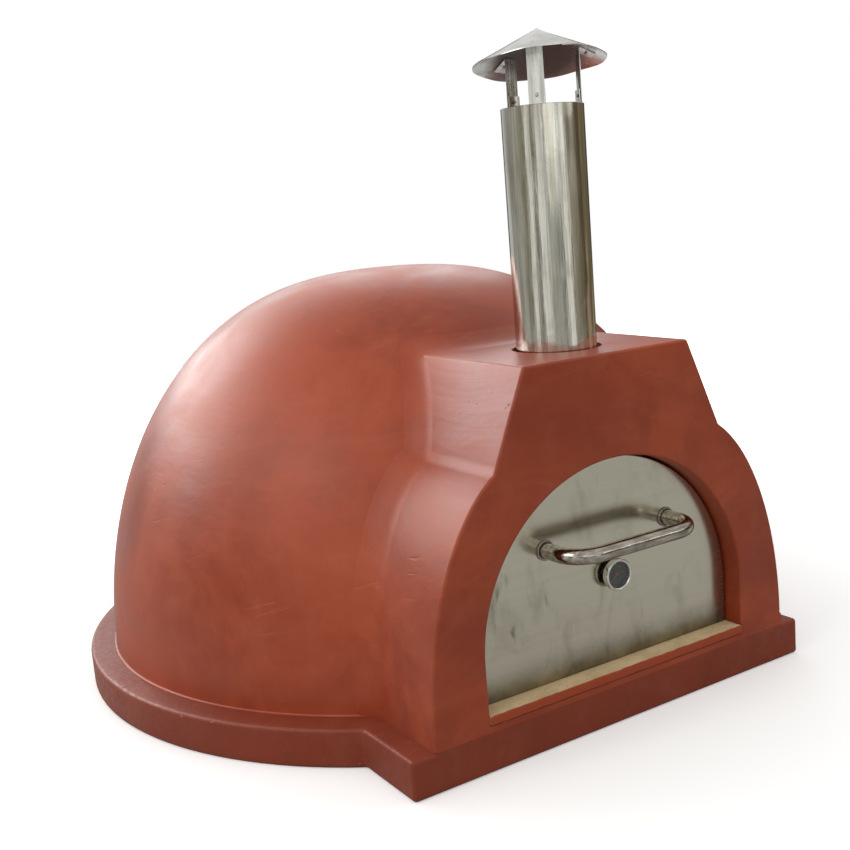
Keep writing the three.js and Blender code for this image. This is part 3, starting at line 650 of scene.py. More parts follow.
inside_line = dome_outline(REFRACTORY_DEPTH + REFRACTORY_THICKNESS, 36)
outside_line = dome_outline(REFRACTORY_DEPTH, 36)
shell = turn_profile(outside_line[::-1] + inside_line, 96)
way_in = as_tool("way_in", loft_block(archway(TUNNEL_HALF_WIDTH, MOUTH_FLOOR, FRONT), 0))
refractory = cut_away(shell, way_in)
soften(refractory, 0.003, 50)
add_piece("firing_chamber", refractory, refractory_cast, "oven", "refractory", "refractory_dome")

# ---------------------------------------------------------------- dome
# The round of the oven: a coat of red plaster trowelled by hand over the blanket, flared at its
# foot where it was brought down on to the slab.

PLASTER_THICKNESS = 0.015
FOOT_COVE = 0.004
SKIN_UNDER_ARCH = 0.012

SHOULDER_CENTRE = (0.157, 0.088)
SHOULDER_RADII = (0.206, 0.384)
SHOULDER_TOP = 0.449
ARCH_TOP = 0.598
ARCH_TOP_HALF_WIDTH = 0.163
ARCH_BACK = -0.230


def arch_outline(margin=0.0, foot=DOME_FOOT, corner_radius=0.004):
    """The front arch's outline in X and Z, from its left foot over the top to its right foot."""
    rise = math.asin((SHOULDER_TOP - SHOULDER_CENTRE[1]) / SHOULDER_RADII[1])
    radii = (SHOULDER_RADII[0] + margin, SHOULDER_RADII[1] + margin)
    right = arc(SHOULDER_CENTRE, radii, 0, rise, 30)
    kink = Vector(right[-1])
    top_corner = Vector((ARCH_TOP_HALF_WIDTH + margin, ARCH_TOP + margin))
    right += [tuple(kink.lerp(top_corner, i / 12)) for i in range(1, 12)]
    along = (kink - top_corner).normalized()
    start = top_corner + along * corner_radius
    end = top_corner - Vector((corner_radius, 0))
    for i in range(5):
        right.append(tuple(start.lerp(top_corner, i / 4).lerp(top_corner.lerp(end, i / 4), i / 4)))
    across = [(end.x * (1 - 2 * i / 24), end.y) for i in range(1, 24)]
    right = [(ARCH_HALF_FOOT + margin, foot)] + right
    left = [(-x, z) for x, z in reversed(right)]
    return right + across + left


def dome_front(x, z):
    """How far forward the dome's skin stands at a place across and up."""
    rise = min(1.0, max(0.0, (z - DOME_FOOT) / DOME_HEIGHT)) ** (ROUND_UP / 2)
    radius = DOME_RADIUS * max(0.0, 1 - rise * rise) ** (1 / ROUND_ACROSS)
    return -math.sqrt(max(0.0, radius * radius - x * x))


DEEP_RED = (0.265, 0.038, 0.0115, 1)
WARM_RED = (0.395, 0.068, 0.0225, 1)
RUBBED_RED = (0.46, 0.105, 0.048, 1)
DAMP_RED = (0.22, 0.036, 0.015, 1)
PORE_RED = (0.20, 0.034, 0.014, 1)
SCRATCH_RED = (0.50, 0.14, 0.075, 1)
BRICK_DUST = (0.52, 0.20, 0.13, 1)

red_plaster, tree, shader = new_finish("red_plaster")
spot = place_on_piece(tree)
trowel = use_effect(tree, trowel_work, Vector=spot)
tone = blend_colours(tree, between(tree, trowel["Patches"], 0.30, 0.70), DEEP_RED, WARM_RED)
tone = blend_colours(tree, between(tree, trowel["Sweeps"], 0.50, 0.80, 0.0, 0.30), tone, RUBBED_RED)
tone = blend_colours(tree, between(tree, trowel["Fine"], 0.55, 0.80, 0.0, 0.25), tone, DAMP_RED)
tone = blend_colours(tree, times(tree, trowel["Pores"], 0.4), tone, PORE_RED)
strokes = grain(tree, place_on_piece(tree, scale=(9, 9, 75), rotation=(0.2, 0.15, 0)), 1.0, 3, 0.6)
here_and_there = between(tree, grain(tree, spot, 3.2, 3, 0.6), 0.48, 0.62)
scratches = times(tree, between(tree, strokes, 0.62, 0.72), here_and_there)
tone = blend_colours(tree, times(tree, scratches, 0.14), tone, SCRATCH_RED)
tone = use_effect(tree, dusting, Vector=spot, Color=tone, Dust=BRICK_DUST, Amount=0.08)["Color"]
rough = between(tree, trowel["Patches"], 0.3, 0.7, 0.34, 0.52)
shader.inputs["Specular IOR Level"].default_value = SHEEN_LEVEL
relief = plus(tree, trowel["Patches"], times(tree, trowel["Sweeps"], 0.7))
relief = plus(tree, relief, times(tree, trowel["Fine"], 0.12))
relief = less(tree, relief, times(tree, trowel["Pores"], 0.7))
relief = less(tree, relief, times(tree, scratches, 0.20))
dress(tree, shader, tone, rough, relief, 0.0014)

outer_line = dome_outline(0, 72)
cove_centre = (outer_line[0][0] + FOOT_COVE, DOME_FOOT + FOOT_COVE)
flare = arc(cove_centre, (FOOT_COVE, FOOT_COVE), -math.pi / 2, -math.pi, 6)
outer_line = flare[:-1] + [point for point in outer_line if point[1] > DOME_FOOT + FOOT_COVE]
skin = turn_profile(outer_line + dome_outline(PLASTER_THICKNESS, 36)[::-1], 160, closed=True)
inner_arch = [(x, FRONT - 0.05, z) for x, z in arch_outline(-SKIN_UNDER_ARCH, foot=0.0)]
behind_arch = as_tool("behind_arch", loft_block(inner_arch, 0))
skin = cut_away(skin, behind_arch)
hand_finish(skin)
dome = add_piece("dome_skin", skin, red_plaster, "oven", "plaster", "dome_render")

# ---------------------------------------------------------------- front arch
# A cast block plastered like the dome: shoulders that curve up into a square chimney, a wide
# rebate for the door, a narrower tunnel behind it, and a round socket in its top for the flue.

MOUTH_HALF_WIDTH = 0.2645
REBATE_BACK = FRONT + 0.0675
ARCH_EDGE = 0.0045
FLUE_Y = FRONT + 0.130
SOCKET_RADIUS = 0.0715
SOCKET_LEDGE = 0.500
THROAT_RADIUS = 0.054
SOCKET_LIP = 0.003
TUNNEL_STEP = 0.00015

bm = bmesh.new()
outer_front = draw_loop(bm, [(x, FRONT, z) for x, z in arch_outline(foot=slab_high.z)])
mouth_front = draw_loop(bm, archway(MOUTH_HALF_WIDTH, MOUTH_FLOOR, FRONT))
bmesh.ops.bridge_loops(bm, edges=outer_front + mouth_front)
outer_back = pull(bm, outer_front, (0, ARCH_BACK - FRONT, 0), steps=14)
rebate_back = pull(bm, mouth_front, (0, REBATE_BACK - FRONT, 0))
tunnel_front = draw_loop(bm, archway(TUNNEL_HALF_WIDTH, MOUTH_FLOOR + TUNNEL_STEP, REBATE_BACK))
bmesh.ops.bridge_loops(bm, edges=rebate_back + tunnel_front)
tunnel_back = pull(bm, tunnel_front, (0, ARCH_BACK - REBATE_BACK, 0))
bmesh.ops.bridge_loops(bm, edges=outer_back + tunnel_back)
bmesh.ops.recalc_face_normals(bm, faces=bm.faces)


def is_arch_corner(edge):
    """The front's corners, but not its foot, which runs on into the slab's face."""
    return all(v.co.y < FRONT + 0.001 and v.co.z > DOME_FOOT + 0.001 for v in edge.verts)


soften(bm, ARCH_EDGE, 50, 3, is_arch_corner)
chamber_line = dome_outline(REFRACTORY_DEPTH - HAIR_GAP, 36)
chamber = turn_profile([(0, 0.0)] + [(chamber_line[0][0], 0.0)] + chamber_line, 96)
lip_radius = SOCKET_RADIUS + SOCKET_LIP
above = ARCH_TOP + 0.01
socket_line = [
    (0, MOUTH_SPRING), (THROAT_RADIUS, MOUTH_SPRING), (THROAT_RADIUS, SOCKET_LEDGE),
    (SOCKET_RADIUS, SOCKET_LEDGE), (SOCKET_RADIUS, ARCH_TOP - SOCKET_LIP),
    (SOCKET_RADIUS + 0.3 * SOCKET_LIP, ARCH_TOP - 0.3 * SOCKET_LIP),
    (lip_radius, ARCH_TOP), (lip_radius, above), (0, above),
]
flue_socket = turn_profile(socket_line, 72, centre=(0, FLUE_Y))
block = cut_away(bm, as_tool("chamber", chamber), as_tool("flue_socket", flue_socket))
hand_finish(block)
arch = add_piece("arch_block", block, red_plaster, "oven", "plaster", "front_arch")

# The cove between the arch and the dome: the plaster was drawn round with the trowel's nose.
COVE_REACH = 0.030
COVE_COLUMNS = 11

cove_line = [Vector(point) for point in arch_outline(corner_radius=0.012)]
normals = []
for i, point in enumerate(cove_line):
    ahead = cove_line[min(i + 1, len(cove_line) - 1)]
    back = cove_line[max(i - 1, 0)]
    normals.append(Vector(((ahead - back).y, -(ahead - back).x)).normalized())
for _ in range(14):
    triples = zip(normals, normals[1:], normals[2:])
    inner = [(before + 2 * here + after).normalized() for before, here, after in triples]
    normals = [normals[0]] + inner + [normals[-1]]


def cove_point(along, across):
    """A place on the cove. Along runs from 0 to 1. Across runs from the arch, 0, to the dome, 1.
    Beyond 1 it is the hidden corner that the cove fills."""
    index = min(len(cove_line) - 1, round(along * (len(cove_line) - 1)))
    point, normal = cove_line[index], normals[index]
    on_dome = point + normal * COVE_REACH
    step = 0.002
    here = dome_front(*on_dome)
    slope = (dome_front(*(on_dome + normal * step)) - here) / step
    corner = Vector((point.x, here - slope * COVE_REACH, point.y))
    start = corner - Vector((0, COVE_REACH, 0))
    end = Vector((on_dome.x, here, on_dome.y))
    if across > 1:
        return corner
    return start.lerp(corner, across).lerp(corner.lerp(end, across), across)


bm = bmesh.new()
bmesh.ops.create_grid(bm, x_segments=len(cove_line) - 1, y_segments=COVE_COLUMNS, size=1)
arch_side = [edge for edge in bm.edges if all(v.co.y < -0.999 for v in edge.verts)]
hidden_side = [edge for edge in bm.edges if all(v.co.y > 0.999 for v in edge.verts)]
bmesh.ops.bridge_loops(bm, edges=arch_side + hidden_side)
for vertex in bm.verts:
    across = (vertex.co.y + 1) / 2 * COVE_COLUMNS / (COVE_COLUMNS - 1)
    vertex.co = cove_point((vertex.co.x + 1) / 2, across)
bmesh.ops.holes_fill(bm, edges=[edge for edge in bm.edges if edge.is_boundary], sides=0)
bmesh.ops.recalc_face_normals(bm, faces=bm.faces)
hand_finish(bm)
cove = add_piece("plaster_cove", bm, red_plaster, "oven", "plaster")
for plastered in (slab, dome, arch, cove):
    plaster_pieces.objects.link(plastered)

# ---------------------------------------------------------------- flue
# A rolled and polished stainless pipe that stands on the ledge in its socket. A ring of black rope
# closes the gap round it.

FLUE_RADIUS = 0.065
FLUE_WALL = 0.0015
FLUE_TOP = 0.974

# Lines left in steel by a brush or by rolling: long streaks, with faint smudges over them.
steel_lines, lines_in, lines_out = new_effect(
    "steel_lines", [("Vector", "Vector", None), ("Spot", "Vector", None)],
    [("Fine", "Float"), ("Broad", "Float"), ("Smudges", "Float")],
)
plug(steel_lines, grain(steel_lines, lines_in["Vector"], 40.0, 3, 0.7), lines_out["Fine"])
plug(steel_lines, grain(steel_lines, lines_in["Vector"], 6.0, 3, 0.6), lines_out["Broad"])
smudge = grain(steel_lines, lines_in["Spot"], 11.0, 5, 0.62, 0.7)
plug(steel_lines, between(steel_lines, smudge, 0.50, 0.72), lines_out["Smudges"])


def steel(name, pale, dark, roughness, stretch, relief_depth, smudge_amount=0.5, rough_spread=0.08):
    """Stainless steel whose lines run along the axis that is stretched least."""
    finish, tree, shader = new_finish(name)
    along = place_on_piece(tree, scale=stretch)
    marks = use_effect(tree, steel_lines, Vector=along, Spot=place_on_piece(tree))
    tone = blend_colours(tree, between(tree, marks["Broad"], 0.3, 0.7), dark, pale)
    tone = blend_colours(tree, times(tree, marks["Smudges"], smudge_amount), tone, dark, "MULTIPLY")
    shader.inputs["Metallic"].default_value = 1.0
    low, high = roughness - rough_spread, roughness + rough_spread
    rough = between(tree, marks["Fine"], 0.3, 0.7, low, high)
    rough = plus(tree, rough, times(tree, marks["Smudges"], 0.12))
    relief = plus(tree, marks["Broad"], times(tree, marks["Fine"], 0.15))
    dress(tree, shader, tone, rough, relief, relief_depth)
    return finish


def dull_over(finish, amount, colour, rougher):
    """Lays a dull film over part of a steel: smoke, or a tan patch that paints a warm reflection."""
    tree = finish.node_tree
    sockets = tree.nodes["Principled BSDF"].inputs
    clean_tone = sockets["Base Color"].links[0].from_socket
    clean_rough = sockets["Roughness"].links[0].from_socket
    plug(tree, blend_colours(tree, amount, clean_tone, colour), sockets["Base Color"])
    plug(tree, plus(tree, clean_rough, times(tree, amount, rougher)), sockets["Roughness"])
    plug(tree, between(tree, amount, 0.0, 1.0, 1.0, 0.2), sockets["Metallic"])


flue_steel = steel(
    "flue_steel", (0.82, 0.81, 0.77, 1), (0.52, 0.49, 0.41, 1), roughness=0.10, stretch=(22, 22, 0.9),
    relief_depth=0.0004, smudge_amount=0.25, rough_spread=0.03,
)
# Painted reflection: a streaked tan patch on the lower right of the pipe stands for warm surroundings
# mirrored in it.
tree = flue_steel.node_tree
parts = add_node(tree, "SeparateXYZ", Vector=place_on_piece(tree)).outputs
streaks = between(tree, grain(tree, place_on_piece(tree, scale=(30, 30, 2)), 4.0, 4, 0.6), 0.38, 0.60)
right_side = between(tree, parts["X"], 0.008, 0.022)
lower_part = between(tree, parts["Z"], 0.86, 0.66)
painted_warm_reflection = times(tree, times(tree, right_side, lower_part), times(tree, streaks, 0.75))
dull_over(flue_steel, painted_warm_reflection, (0.62, 0.42, 0.22, 1), rougher=0.0)
lip = FLUE_WALL / 3
flue_foot = SOCKET_LEDGE + HAIR_GAP
flue_line = [
    (FLUE_RADIUS - FLUE_WALL, flue_foot), (FLUE_RADIUS, flue_foot),
    *[(FLUE_RADIUS, SOCKET_LEDGE + (FLUE_TOP - SOCKET_LEDGE) * i / 10) for i in range(1, 10)],
    (FLUE_RADIUS, FLUE_TOP - lip), (FLUE_RADIUS - lip, FLUE_TOP), (FLUE_RADIUS - 2 * lip, FLUE_TOP),
    (FLUE_RADIUS - FLUE_WALL, FLUE_TOP - lip),
]
pipe = turn_profile(flue_line, 128, centre=(0, FLUE_Y), closed=True)
add_piece("flue", pipe, flue_steel, "oven", "polished_steel", "flue_pipe")

# Woven glass rope, black with heat.
black_rope, tree, shader = new_finish("black_rope")
spot = place_on_piece(tree)
slanting = {"wave_type": "BANDS", "bands_direction": "DIAGONAL"}
weave = add_node(tree, "TexWave", slanting, Vector=spot, Scale=90.0, Distortion=1.5, Detail=2.0)
strands = weave.outputs["Fac"]
tone = blend_colours(tree, strands, (0.035, 0.033, 0.030, 1), (0.16, 0.15, 0.14, 1))
dress(tree, shader, tone, 0.95, strands, 0.0008)

gasket_low, gasket_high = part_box("flue_gasket")
ring_radius = (FLUE_RADIUS + SOCKET_RADIUS) / 2
rope_radius = (gasket_high.z - gasket_low.z) / 2
ring_height = (gasket_high.z + gasket_low.z) / 2
rope_ring = arc((ring_radius, ring_height), (rope_radius, rope_radius), 0, math.tau, 12)[:-1]
rope = turn_profile(rope_ring, 72, centre=(0, FLUE_Y), closed=True)
add_piece("flue_rope", rope, black_rope, "oven", "rope", "flue_gasket")

# ---------------------------------------------------------------- cowl
# A rain cowl: a thin cone rolled from one sheet and lapped, held on three straps that are riveted
# to a collar. The collar slips into the flue, so the cowl lifts off. It sits slightly askew.

COWL_RADIUS = 0.104
COWL_HEIGHT = 0.052
COWL_SHEET = 0.0012
COWL_RIM = FLUE_TOP + 0.0645
TILT_BACK = math.radians(-6.6)
TILT_SIDE = math.radians(2.8)
LAP_START = math.radians(-108)
LAP_WIDTH = math.radians(14)
CONE_STEPS = 144
APEX_HOLE = 0.0012
RIPPLE = 0.0012
SMOKE_REACH = 0.74
SMOKE_FADE = 0.25

cowl_steel = steel(
    "cowl_steel", (0.82, 0.82, 0.80, 1), (0.56, 0.55, 0.52, 1), roughness=0.20, stretch=(3, 3, 3),
    relief_depth=0.0006, smudge_amount=0.5, rough_spread=0.05,
)
smoked = add_node(cowl_steel.node_tree, "Attribute", {"attribute_name": "smoked"}).outputs["Fac"]
dull_over(cowl_steel, smoked, (0.17, 0.14, 0.13, 1), rougher=0.35)

cowl_place = (
    Matrix.Translation((0, FLUE_Y, COWL_RIM))
    @ Matrix.Rotation(TILT_BACK, 4, "X")
    @ Matrix.Rotation(TILT_SIDE, 4, "Y")
)
bm = bmesh.new()
slope = COWL_HEIGHT / COWL_RADIUS
across = [APEX_HOLE + (COWL_RADIUS - APEX_HOLE) * i / 16 for i in range(17)]
upper = [(r, COWL_HEIGHT - slope * r) for r in across]
lower = [(r, height - COWL_SHEET) for r, height in upper]
edges = draw_loop(bm, [(r, 0, height) for r, height in upper + lower[::-1]])
corners = list({vertex for edge in edges for vertex in edge.verts})
bmesh.ops.rotate(bm, verts=corners, cent=(0, 0, 0), matrix=Matrix.Rotation(LAP_START, 3, "Z"))
spun = bmesh.ops.spin(
    bm, geom=corners + edges, cent=(0, 0, 0), axis=(0, 0, 1), dvec=(0, 0, COWL_SHEET * 1.15 / CONE_STEPS),
    angle=math.tau + LAP_WIDTH, steps=CONE_STEPS, use_merge=False, use_duplicate=False,
)
bmesh.ops.contextual_create(bm, geom=edges)
last_edges = [item for item in spun["geom_last"] if isinstance(item, bmesh.types.BMEdge)]
bmesh.ops.contextual_create(bm, geom=last_edges)

# The sheet ripples more towards its rim. Smoke has blackened the underside, least at the front.
smoked_layer = bm.verts.layers.float.new("smoked")
for vertex in bm.verts:
    out = vertex.co.xy.length / COWL_RADIUS
    turn = math.atan2(vertex.co.y, vertex.co.x)
    vertex.co.z += RIPPLE * out ** 3 * (math.sin(3 * turn + 0.6) + 0.6 * math.sin(7 * turn))
bmesh.ops.recalc_face_normals(bm, faces=bm.faces)
bm.normal_update()
for vertex in bm.verts:
    out = vertex.co.xy.length / COWL_RADIUS
    if vertex.normal.z < -0.3:
        rearward = max(0, 0.5 * vertex.co.x + 0.8 * vertex.co.y) / COWL_RADIUS
        reach = (SMOKE_REACH + 0.5 * rearward - out) / SMOKE_FADE
        vertex[smoked_layer] = 0.95 * min(1, max(0, reach))

# A drop of weld closes the hole at the apex.
tip_line = [(0, 0.0014), (0.0022, 0.0008), (0.0036, -0.0008), (0, -0.0022)]
tip = turn_profile([(radius, COWL_HEIGHT + rise) for radius, rise in tip_line], 32)
tip_mesh = bpy.data.meshes.new("tip")
tip.to_mesh(tip_mesh)
tip.free()
bm.from_mesh(tip_mesh)
bpy.data.meshes.remove(tip_mesh)
bmesh.ops.transform(bm, matrix=cowl_place, verts=bm.verts)
add_piece("cowl_hat", bm, cowl_steel, "cowl", "polished_steel", "cowl_cone", smooth_below=30)

strap_steel = steel(
    "strap_steel", (0.90, 0.90, 0.88, 1), (0.55, 0.54, 0.51, 1), roughness=0.24, stretch=(30, 30, 2),
    relief_depth=0.0002, smudge_amount=0.4,
)
rivet_steel = steel(
    "rivet_steel", (0.62, 0.61, 0.58, 1), (0.40, 0.39, 0.36, 1), roughness=0.3, stretch=(8, 8, 8),
    relief_depth=0.0001,
)
add_softened("collar", "cowl_collar", 0.0003, strap_steel, "cowl", "brushed_steel", segments=1)
for side in ("front", "right", "rear"):
    add_softened(f"strap_{side}", f"cowl_strap_{side}", 0.0004, strap_steel, "cowl", "brushed_steel")
    for level in ("lower", "upper"):
        rivet = f"cowl_{level}_rivet_{side}"
        add_softened(f"rivet_{level}_{side}", rivet, 0.0002, rivet_steel, "cowl", "fastener")

# ---------------------------------------------------------------- door
# A loose door: a tray folded from brushed stainless sheet, filled with insulation and closed by a
# back sheet held by screws. A rope seal round its back presses on the end of the rebate.

door_low, door_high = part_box("door_tray")
DOOR_HALF_WIDTH = (door_high.x - door_low.x) / 2
DOOR_FACE = door_low.y
DOOR_BACK = door_high.y
DOOR_FLOOR = door_low.z
DOOR_FLANGE = 0.023
DOOR_SHEET = 0.0015
FOLD_RADIUS = 0.0022

DULL_STEEL = (0.545, 0.515, 0.415, 1)
BRIGHT_STEEL = (0.575, 0.545, 0.440, 1)
# The colour of grease stains, also used for the painted shade at the door's bottom and right edge.
GREASE_AND_SHADE = (0.13, 0.12, 0.085, 1)

door_steel, tree, shader = new_finish("door_steel")
along = place_on_piece(tree, scale=(0.8, 20, 26))
marks = use_effect(tree, steel_lines, Vector=along, Spot=place_on_piece(tree, scale=(1.4, 1, 0.6)))
spot = place_on_piece(tree)
tone = blend_colours(tree, between(tree, marks["Broad"], 0.25, 0.75), DULL_STEEL, BRIGHT_STEEL)
parts = add_node(tree, "SeparateXYZ", Vector=spot).outputs
run_lines = grain(tree, place_on_piece(tree, scale=(26, 1, 10), centre=(-0.16, 0, 0)), 1.0, 5, 0.6, 0.4)
left_side = between(tree, parts["X"], -0.02, -0.14)
mid_height = times(tree, between(tree, parts["Z"], 0.14, 0.20), between(tree, parts["Z"], 0.32, 0.24))
runs = times(tree, between(tree, run_lines, 0.55, 0.75), times(tree, left_side, mid_height))
stain_and_shade = plus(tree, times(tree, runs, 0.9), times(tree, marks["Smudges"], 0.26))
# Painted shade: the door darkens towards its bottom and its right edge, where the rebate and the doorstep
# shade it, and it is rougher there.
shaded_bottom = between(tree, parts["Z"], DOOR_FLOOR + 0.06, DOOR_FLOOR, 0.0, 1.0)
shaded_right_edge = between(tree, parts["X"], DOOR_HALF_WIDTH - 0.035, DOOR_HALF_WIDTH, 0.0, 0.45)
shaded_edges = combine(tree, "MAXIMUM", shaded_bottom, shaded_right_edge)
edge_shade = times(tree, shaded_edges, grain(tree, spot, 16.0, 5, 0.6))
stain_and_shade = combine(tree, "MINIMUM", plus(tree, stain_and_shade, times(tree, edge_shade, 1.3)), 1.0)
tone = blend_colours(tree, stain_and_shade, tone, GREASE_AND_SHADE)
shader.inputs["Metallic"].default_value = 1.0
rough = plus(tree, between(tree, marks["Fine"], 0.3, 0.7, 0.16, 0.22), times(tree, edge_shade, 0.35))
dress(tree, shader, tone, rough, marks["Fine"], 0.00002)

bm = bmesh.new()
face_edge = draw_loop(bm, archway(DOOR_HALF_WIDTH, DOOR_FLOOR, DOOR_FACE))
back_edge = pull(bm, face_edge, (0, DOOR_BACK - DOOR_FACE, 0))
flange_edge = draw_loop(bm, archway(DOOR_HALF_WIDTH - DOOR_FLANGE, DOOR_FLOOR + DOOR_FLANGE, DOOR_BACK))
bmesh.ops.bridge_loops(bm, edges=back_edge + flange_edge)
bmesh.ops.contextual_create(bm, geom=face_edge)
bmesh.ops.recalc_face_normals(bm, faces=bm.faces)
soften(bm, FOLD_RADIUS, 50, 4)
bmesh.ops.solidify(bm, geom=bm.faces[:], thickness=DOOR_SHEET)
add_piece("door_face", bm, door_steel, "door", "brushed_steel", "door_tray")

back_low, back_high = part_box("door_back_sheet")
bm = loft_block(archway((back_high.x - back_low.x) / 2, back_low.z, back_low.y), back_high.y)
soften(bm, 0.0004, 50, 2)
add_piece("door_back", bm, door_steel, "door", "brushed_steel", "door_back_sheet")

seal_low, seal_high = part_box("door_seal")
seal_half = (seal_high.y - seal_low.y) / 2
seal_middle = (seal_high.y + seal_low.y) / 2
SEAL_WIDTH = 0.007
bm = bmesh.new()
path = archway((seal_high.x - seal_low.x) / 2 - SEAL_WIDTH / 2, seal_low.z, seal_middle)[2:]
path = [(path[0][0], seal_middle, seal_low.z)] + path + [(path[-1][0], seal_middle, seal_low.z)]
seal_curve = bpy.data.curves.new("seal_path", "CURVE")
seal_curve.dimensions = "3D"
spline = seal_curve.splines.new("POLY")
spline.points.add(len(path) - 1)
for point, place in zip(spline.points, path):
    point.co = (*place, 1)
seal_curve.bevel_depth = seal_half
seal_curve.bevel_resolution = 3
seal_curve.use_fill_caps = True
seal_object = bpy.data.objects.new("seal_path", seal_curve)
bpy.context.scene.collection.objects.link(seal_object)
seal_mesh = seal_object.evaluated_get(bpy.context.evaluated_depsgraph_get()).to_mesh()
bm.from_mesh(seal_mesh)
bpy.data.objects.remove(seal_object)
add_piece("door_rope", bm, black_rope, "door", "rope", "door_seal")

screw_steel = steel(
    "screw_steel", (0.55, 0.54, 0.50, 1), (0.36, 0.35, 0.32, 1), roughness=0.28, stretch=(8, 8, 8),
    relief_depth=0.0001,
)
for number in range(1, 8):
    add_softened(f"back_screw_{number}", f"door_screw_{number}", 0.0003, screw_steel, "door", "fastener")

# ---------------------------------------------------------------- handle
# One length of polished stainless tube with two bends, standing off the door on short collars.
# A threaded plug in each end takes a bolt from inside the door.

HANDLE_RADIUS = 0.0125
HANDLE_BEND = 0.046
tube_low, tube_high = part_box("handle_tube")
handle_left = tube_low.x + HANDLE_RADIUS
handle_right = tube_high.x - HANDLE_RADIUS
handle_height = (tube_low.z + tube_high.z) / 2
handle_front = tube_low.y + HANDLE_RADIUS

handle_steel = steel(
    "handle_steel", (0.50, 0.47, 0.41, 1), (0.24, 0.21, 0.17, 1), roughness=0.12, stretch=(5, 30, 30),
    relief_depth=0.0002, smudge_amount=0.5, rough_spread=0.04,
)
bm = bmesh.new()
left_root = Matrix.Translation((handle_left, tube_high.y, handle_height))
left_root = left_root @ Matrix.Rotation(math.pi / 2, 4, "X")
bmesh.ops.create_circle(bm, cap_ends=False, radius=HANDLE_RADIUS, segments=32, matrix=left_root)
end_ring = list(bm.edges)
bmesh.ops.contextual_create(bm, geom=end_ring)
reach = handle_front + HANDLE_BEND - tube_high.y
end_ring = pull(bm, end_ring, (0, reach, 0), steps=3)


def bend(edges, centre_x, turn):
    geometry = list({vertex for edge in edges for vertex in edge.verts}) + edges
    made = bmesh.ops.spin(
        bm, geom=geometry, cent=(centre_x, handle_front + HANDLE_BEND, handle_height), axis=(0, 0, 1),
        dvec=(0, 0, 0), angle=turn, steps=14, use_merge=False, use_duplicate=False,
    )
    return [item for item in made["geom_last"] if isinstance(item, bmesh.types.BMEdge)]


end_ring = bend(end_ring, handle_left + HANDLE_BEND, math.pi / 2)
end_ring = pull(bm, end_ring, (handle_right - handle_left - 2 * HANDLE_BEND, 0, 0), steps=8)
end_ring = bend(end_ring, handle_right - HANDLE_BEND, math.pi / 2)
end_ring = pull(bm, end_ring, (0, -reach, 0), steps=3)
bmesh.ops.contextual_create(bm, geom=end_ring)
add_piece("handle_bar", bm, handle_steel, "door", "polished_steel", "handle_tube", smooth_below=60)

collar_steel = steel(
    "collar_steel", (0.46, 0.42, 0.36, 1), (0.16, 0.14, 0.11, 1), roughness=0.3, stretch=(90, 90, 90),
    relief_depth=0.0006, smudge_amount=0.9,
)
for side in ("left", "right"):
    collar = f"handle_collar_{side}"
    add_softened(f"handle_ring_{side}", collar, 0.0006, collar_steel, "door", "polished_steel")
    coat_nodes(screw_steel, f"handle_plug_{side}", f"handle_bolt_{side}")

# ---------------------------------------------------------------- thermometer
# A dial thermometer on a short stem through the door: a pressed case with a rolled bezel, a domed
# glass, a black dial with printed degrees, and a needle that turns on the bimetal's spindle.

bezel_low, bezel_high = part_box("thermometer_bezel")
dial_low, dial_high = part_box("thermometer_dial")
DIAL_CENTRE = Vector(((bezel_low.x + bezel_high.x) / 2, 0, (bezel_low.z + bezel_high.z) / 2))
BEZEL_RADIUS = (bezel_high.x - bezel_low.x) / 2


def turned_piece(points, segments, closed=True):
    """A profile of radius and Y points, spun about the thermometer's axis."""
    bm = turn_profile(points, segments, closed=closed)
    upright = Matrix.Translation(DIAL_CENTRE) @ Matrix.Rotation(math.pi / 2, 4, "X")
    bmesh.ops.transform(bm, matrix=upright, verts=bm.verts)
    for vertex in bm.verts:
        vertex.co.y = -vertex.co.y
    bmesh.ops.recalc_face_normals(bm, faces=bm.faces)
    return bm


bezel_steel = steel(
    "bezel_steel", (0.78, 0.77, 0.73, 1), (0.56, 0.55, 0.50, 1), roughness=0.2, stretch=(10, 10, 10),
    relief_depth=0.0001,
)
front_y, back_y = bezel_low.y, bezel_high.y
roll = 0.0022
bezel_line = [(BEZEL_RADIUS - 0.0045, front_y + 0.0012)]
bezel_line += arc((BEZEL_RADIUS - roll, front_y + roll), (roll, roll), -math.pi * 0.75, 0, 8)
bezel_line += [
    (BEZEL_RADIUS, back_y), (BEZEL_RADIUS - 0.0016, back_y),
    (BEZEL_RADIUS - 0.0017, front_y + 0.0022), (BEZEL_RADIUS - 0.0045, front_y + 0.0022),
]
add_piece("bezel", turned_piece(bezel_line, 72), bezel_steel, "door", "polished_steel", "thermometer_bezel")
for name, edge, segments in (("case", 0.0004, 2), ("stem", 0.0003, 1)):
    add_softened(
        f"gauge_{name}", f"thermometer_{name}", edge, bezel_steel, "door", "polished_steel",
        segments=segments, smooth_below=50,
    )
add_softened("gauge_nut", "thermometer_nut", 0.0005, screw_steel, "door", "fastener")

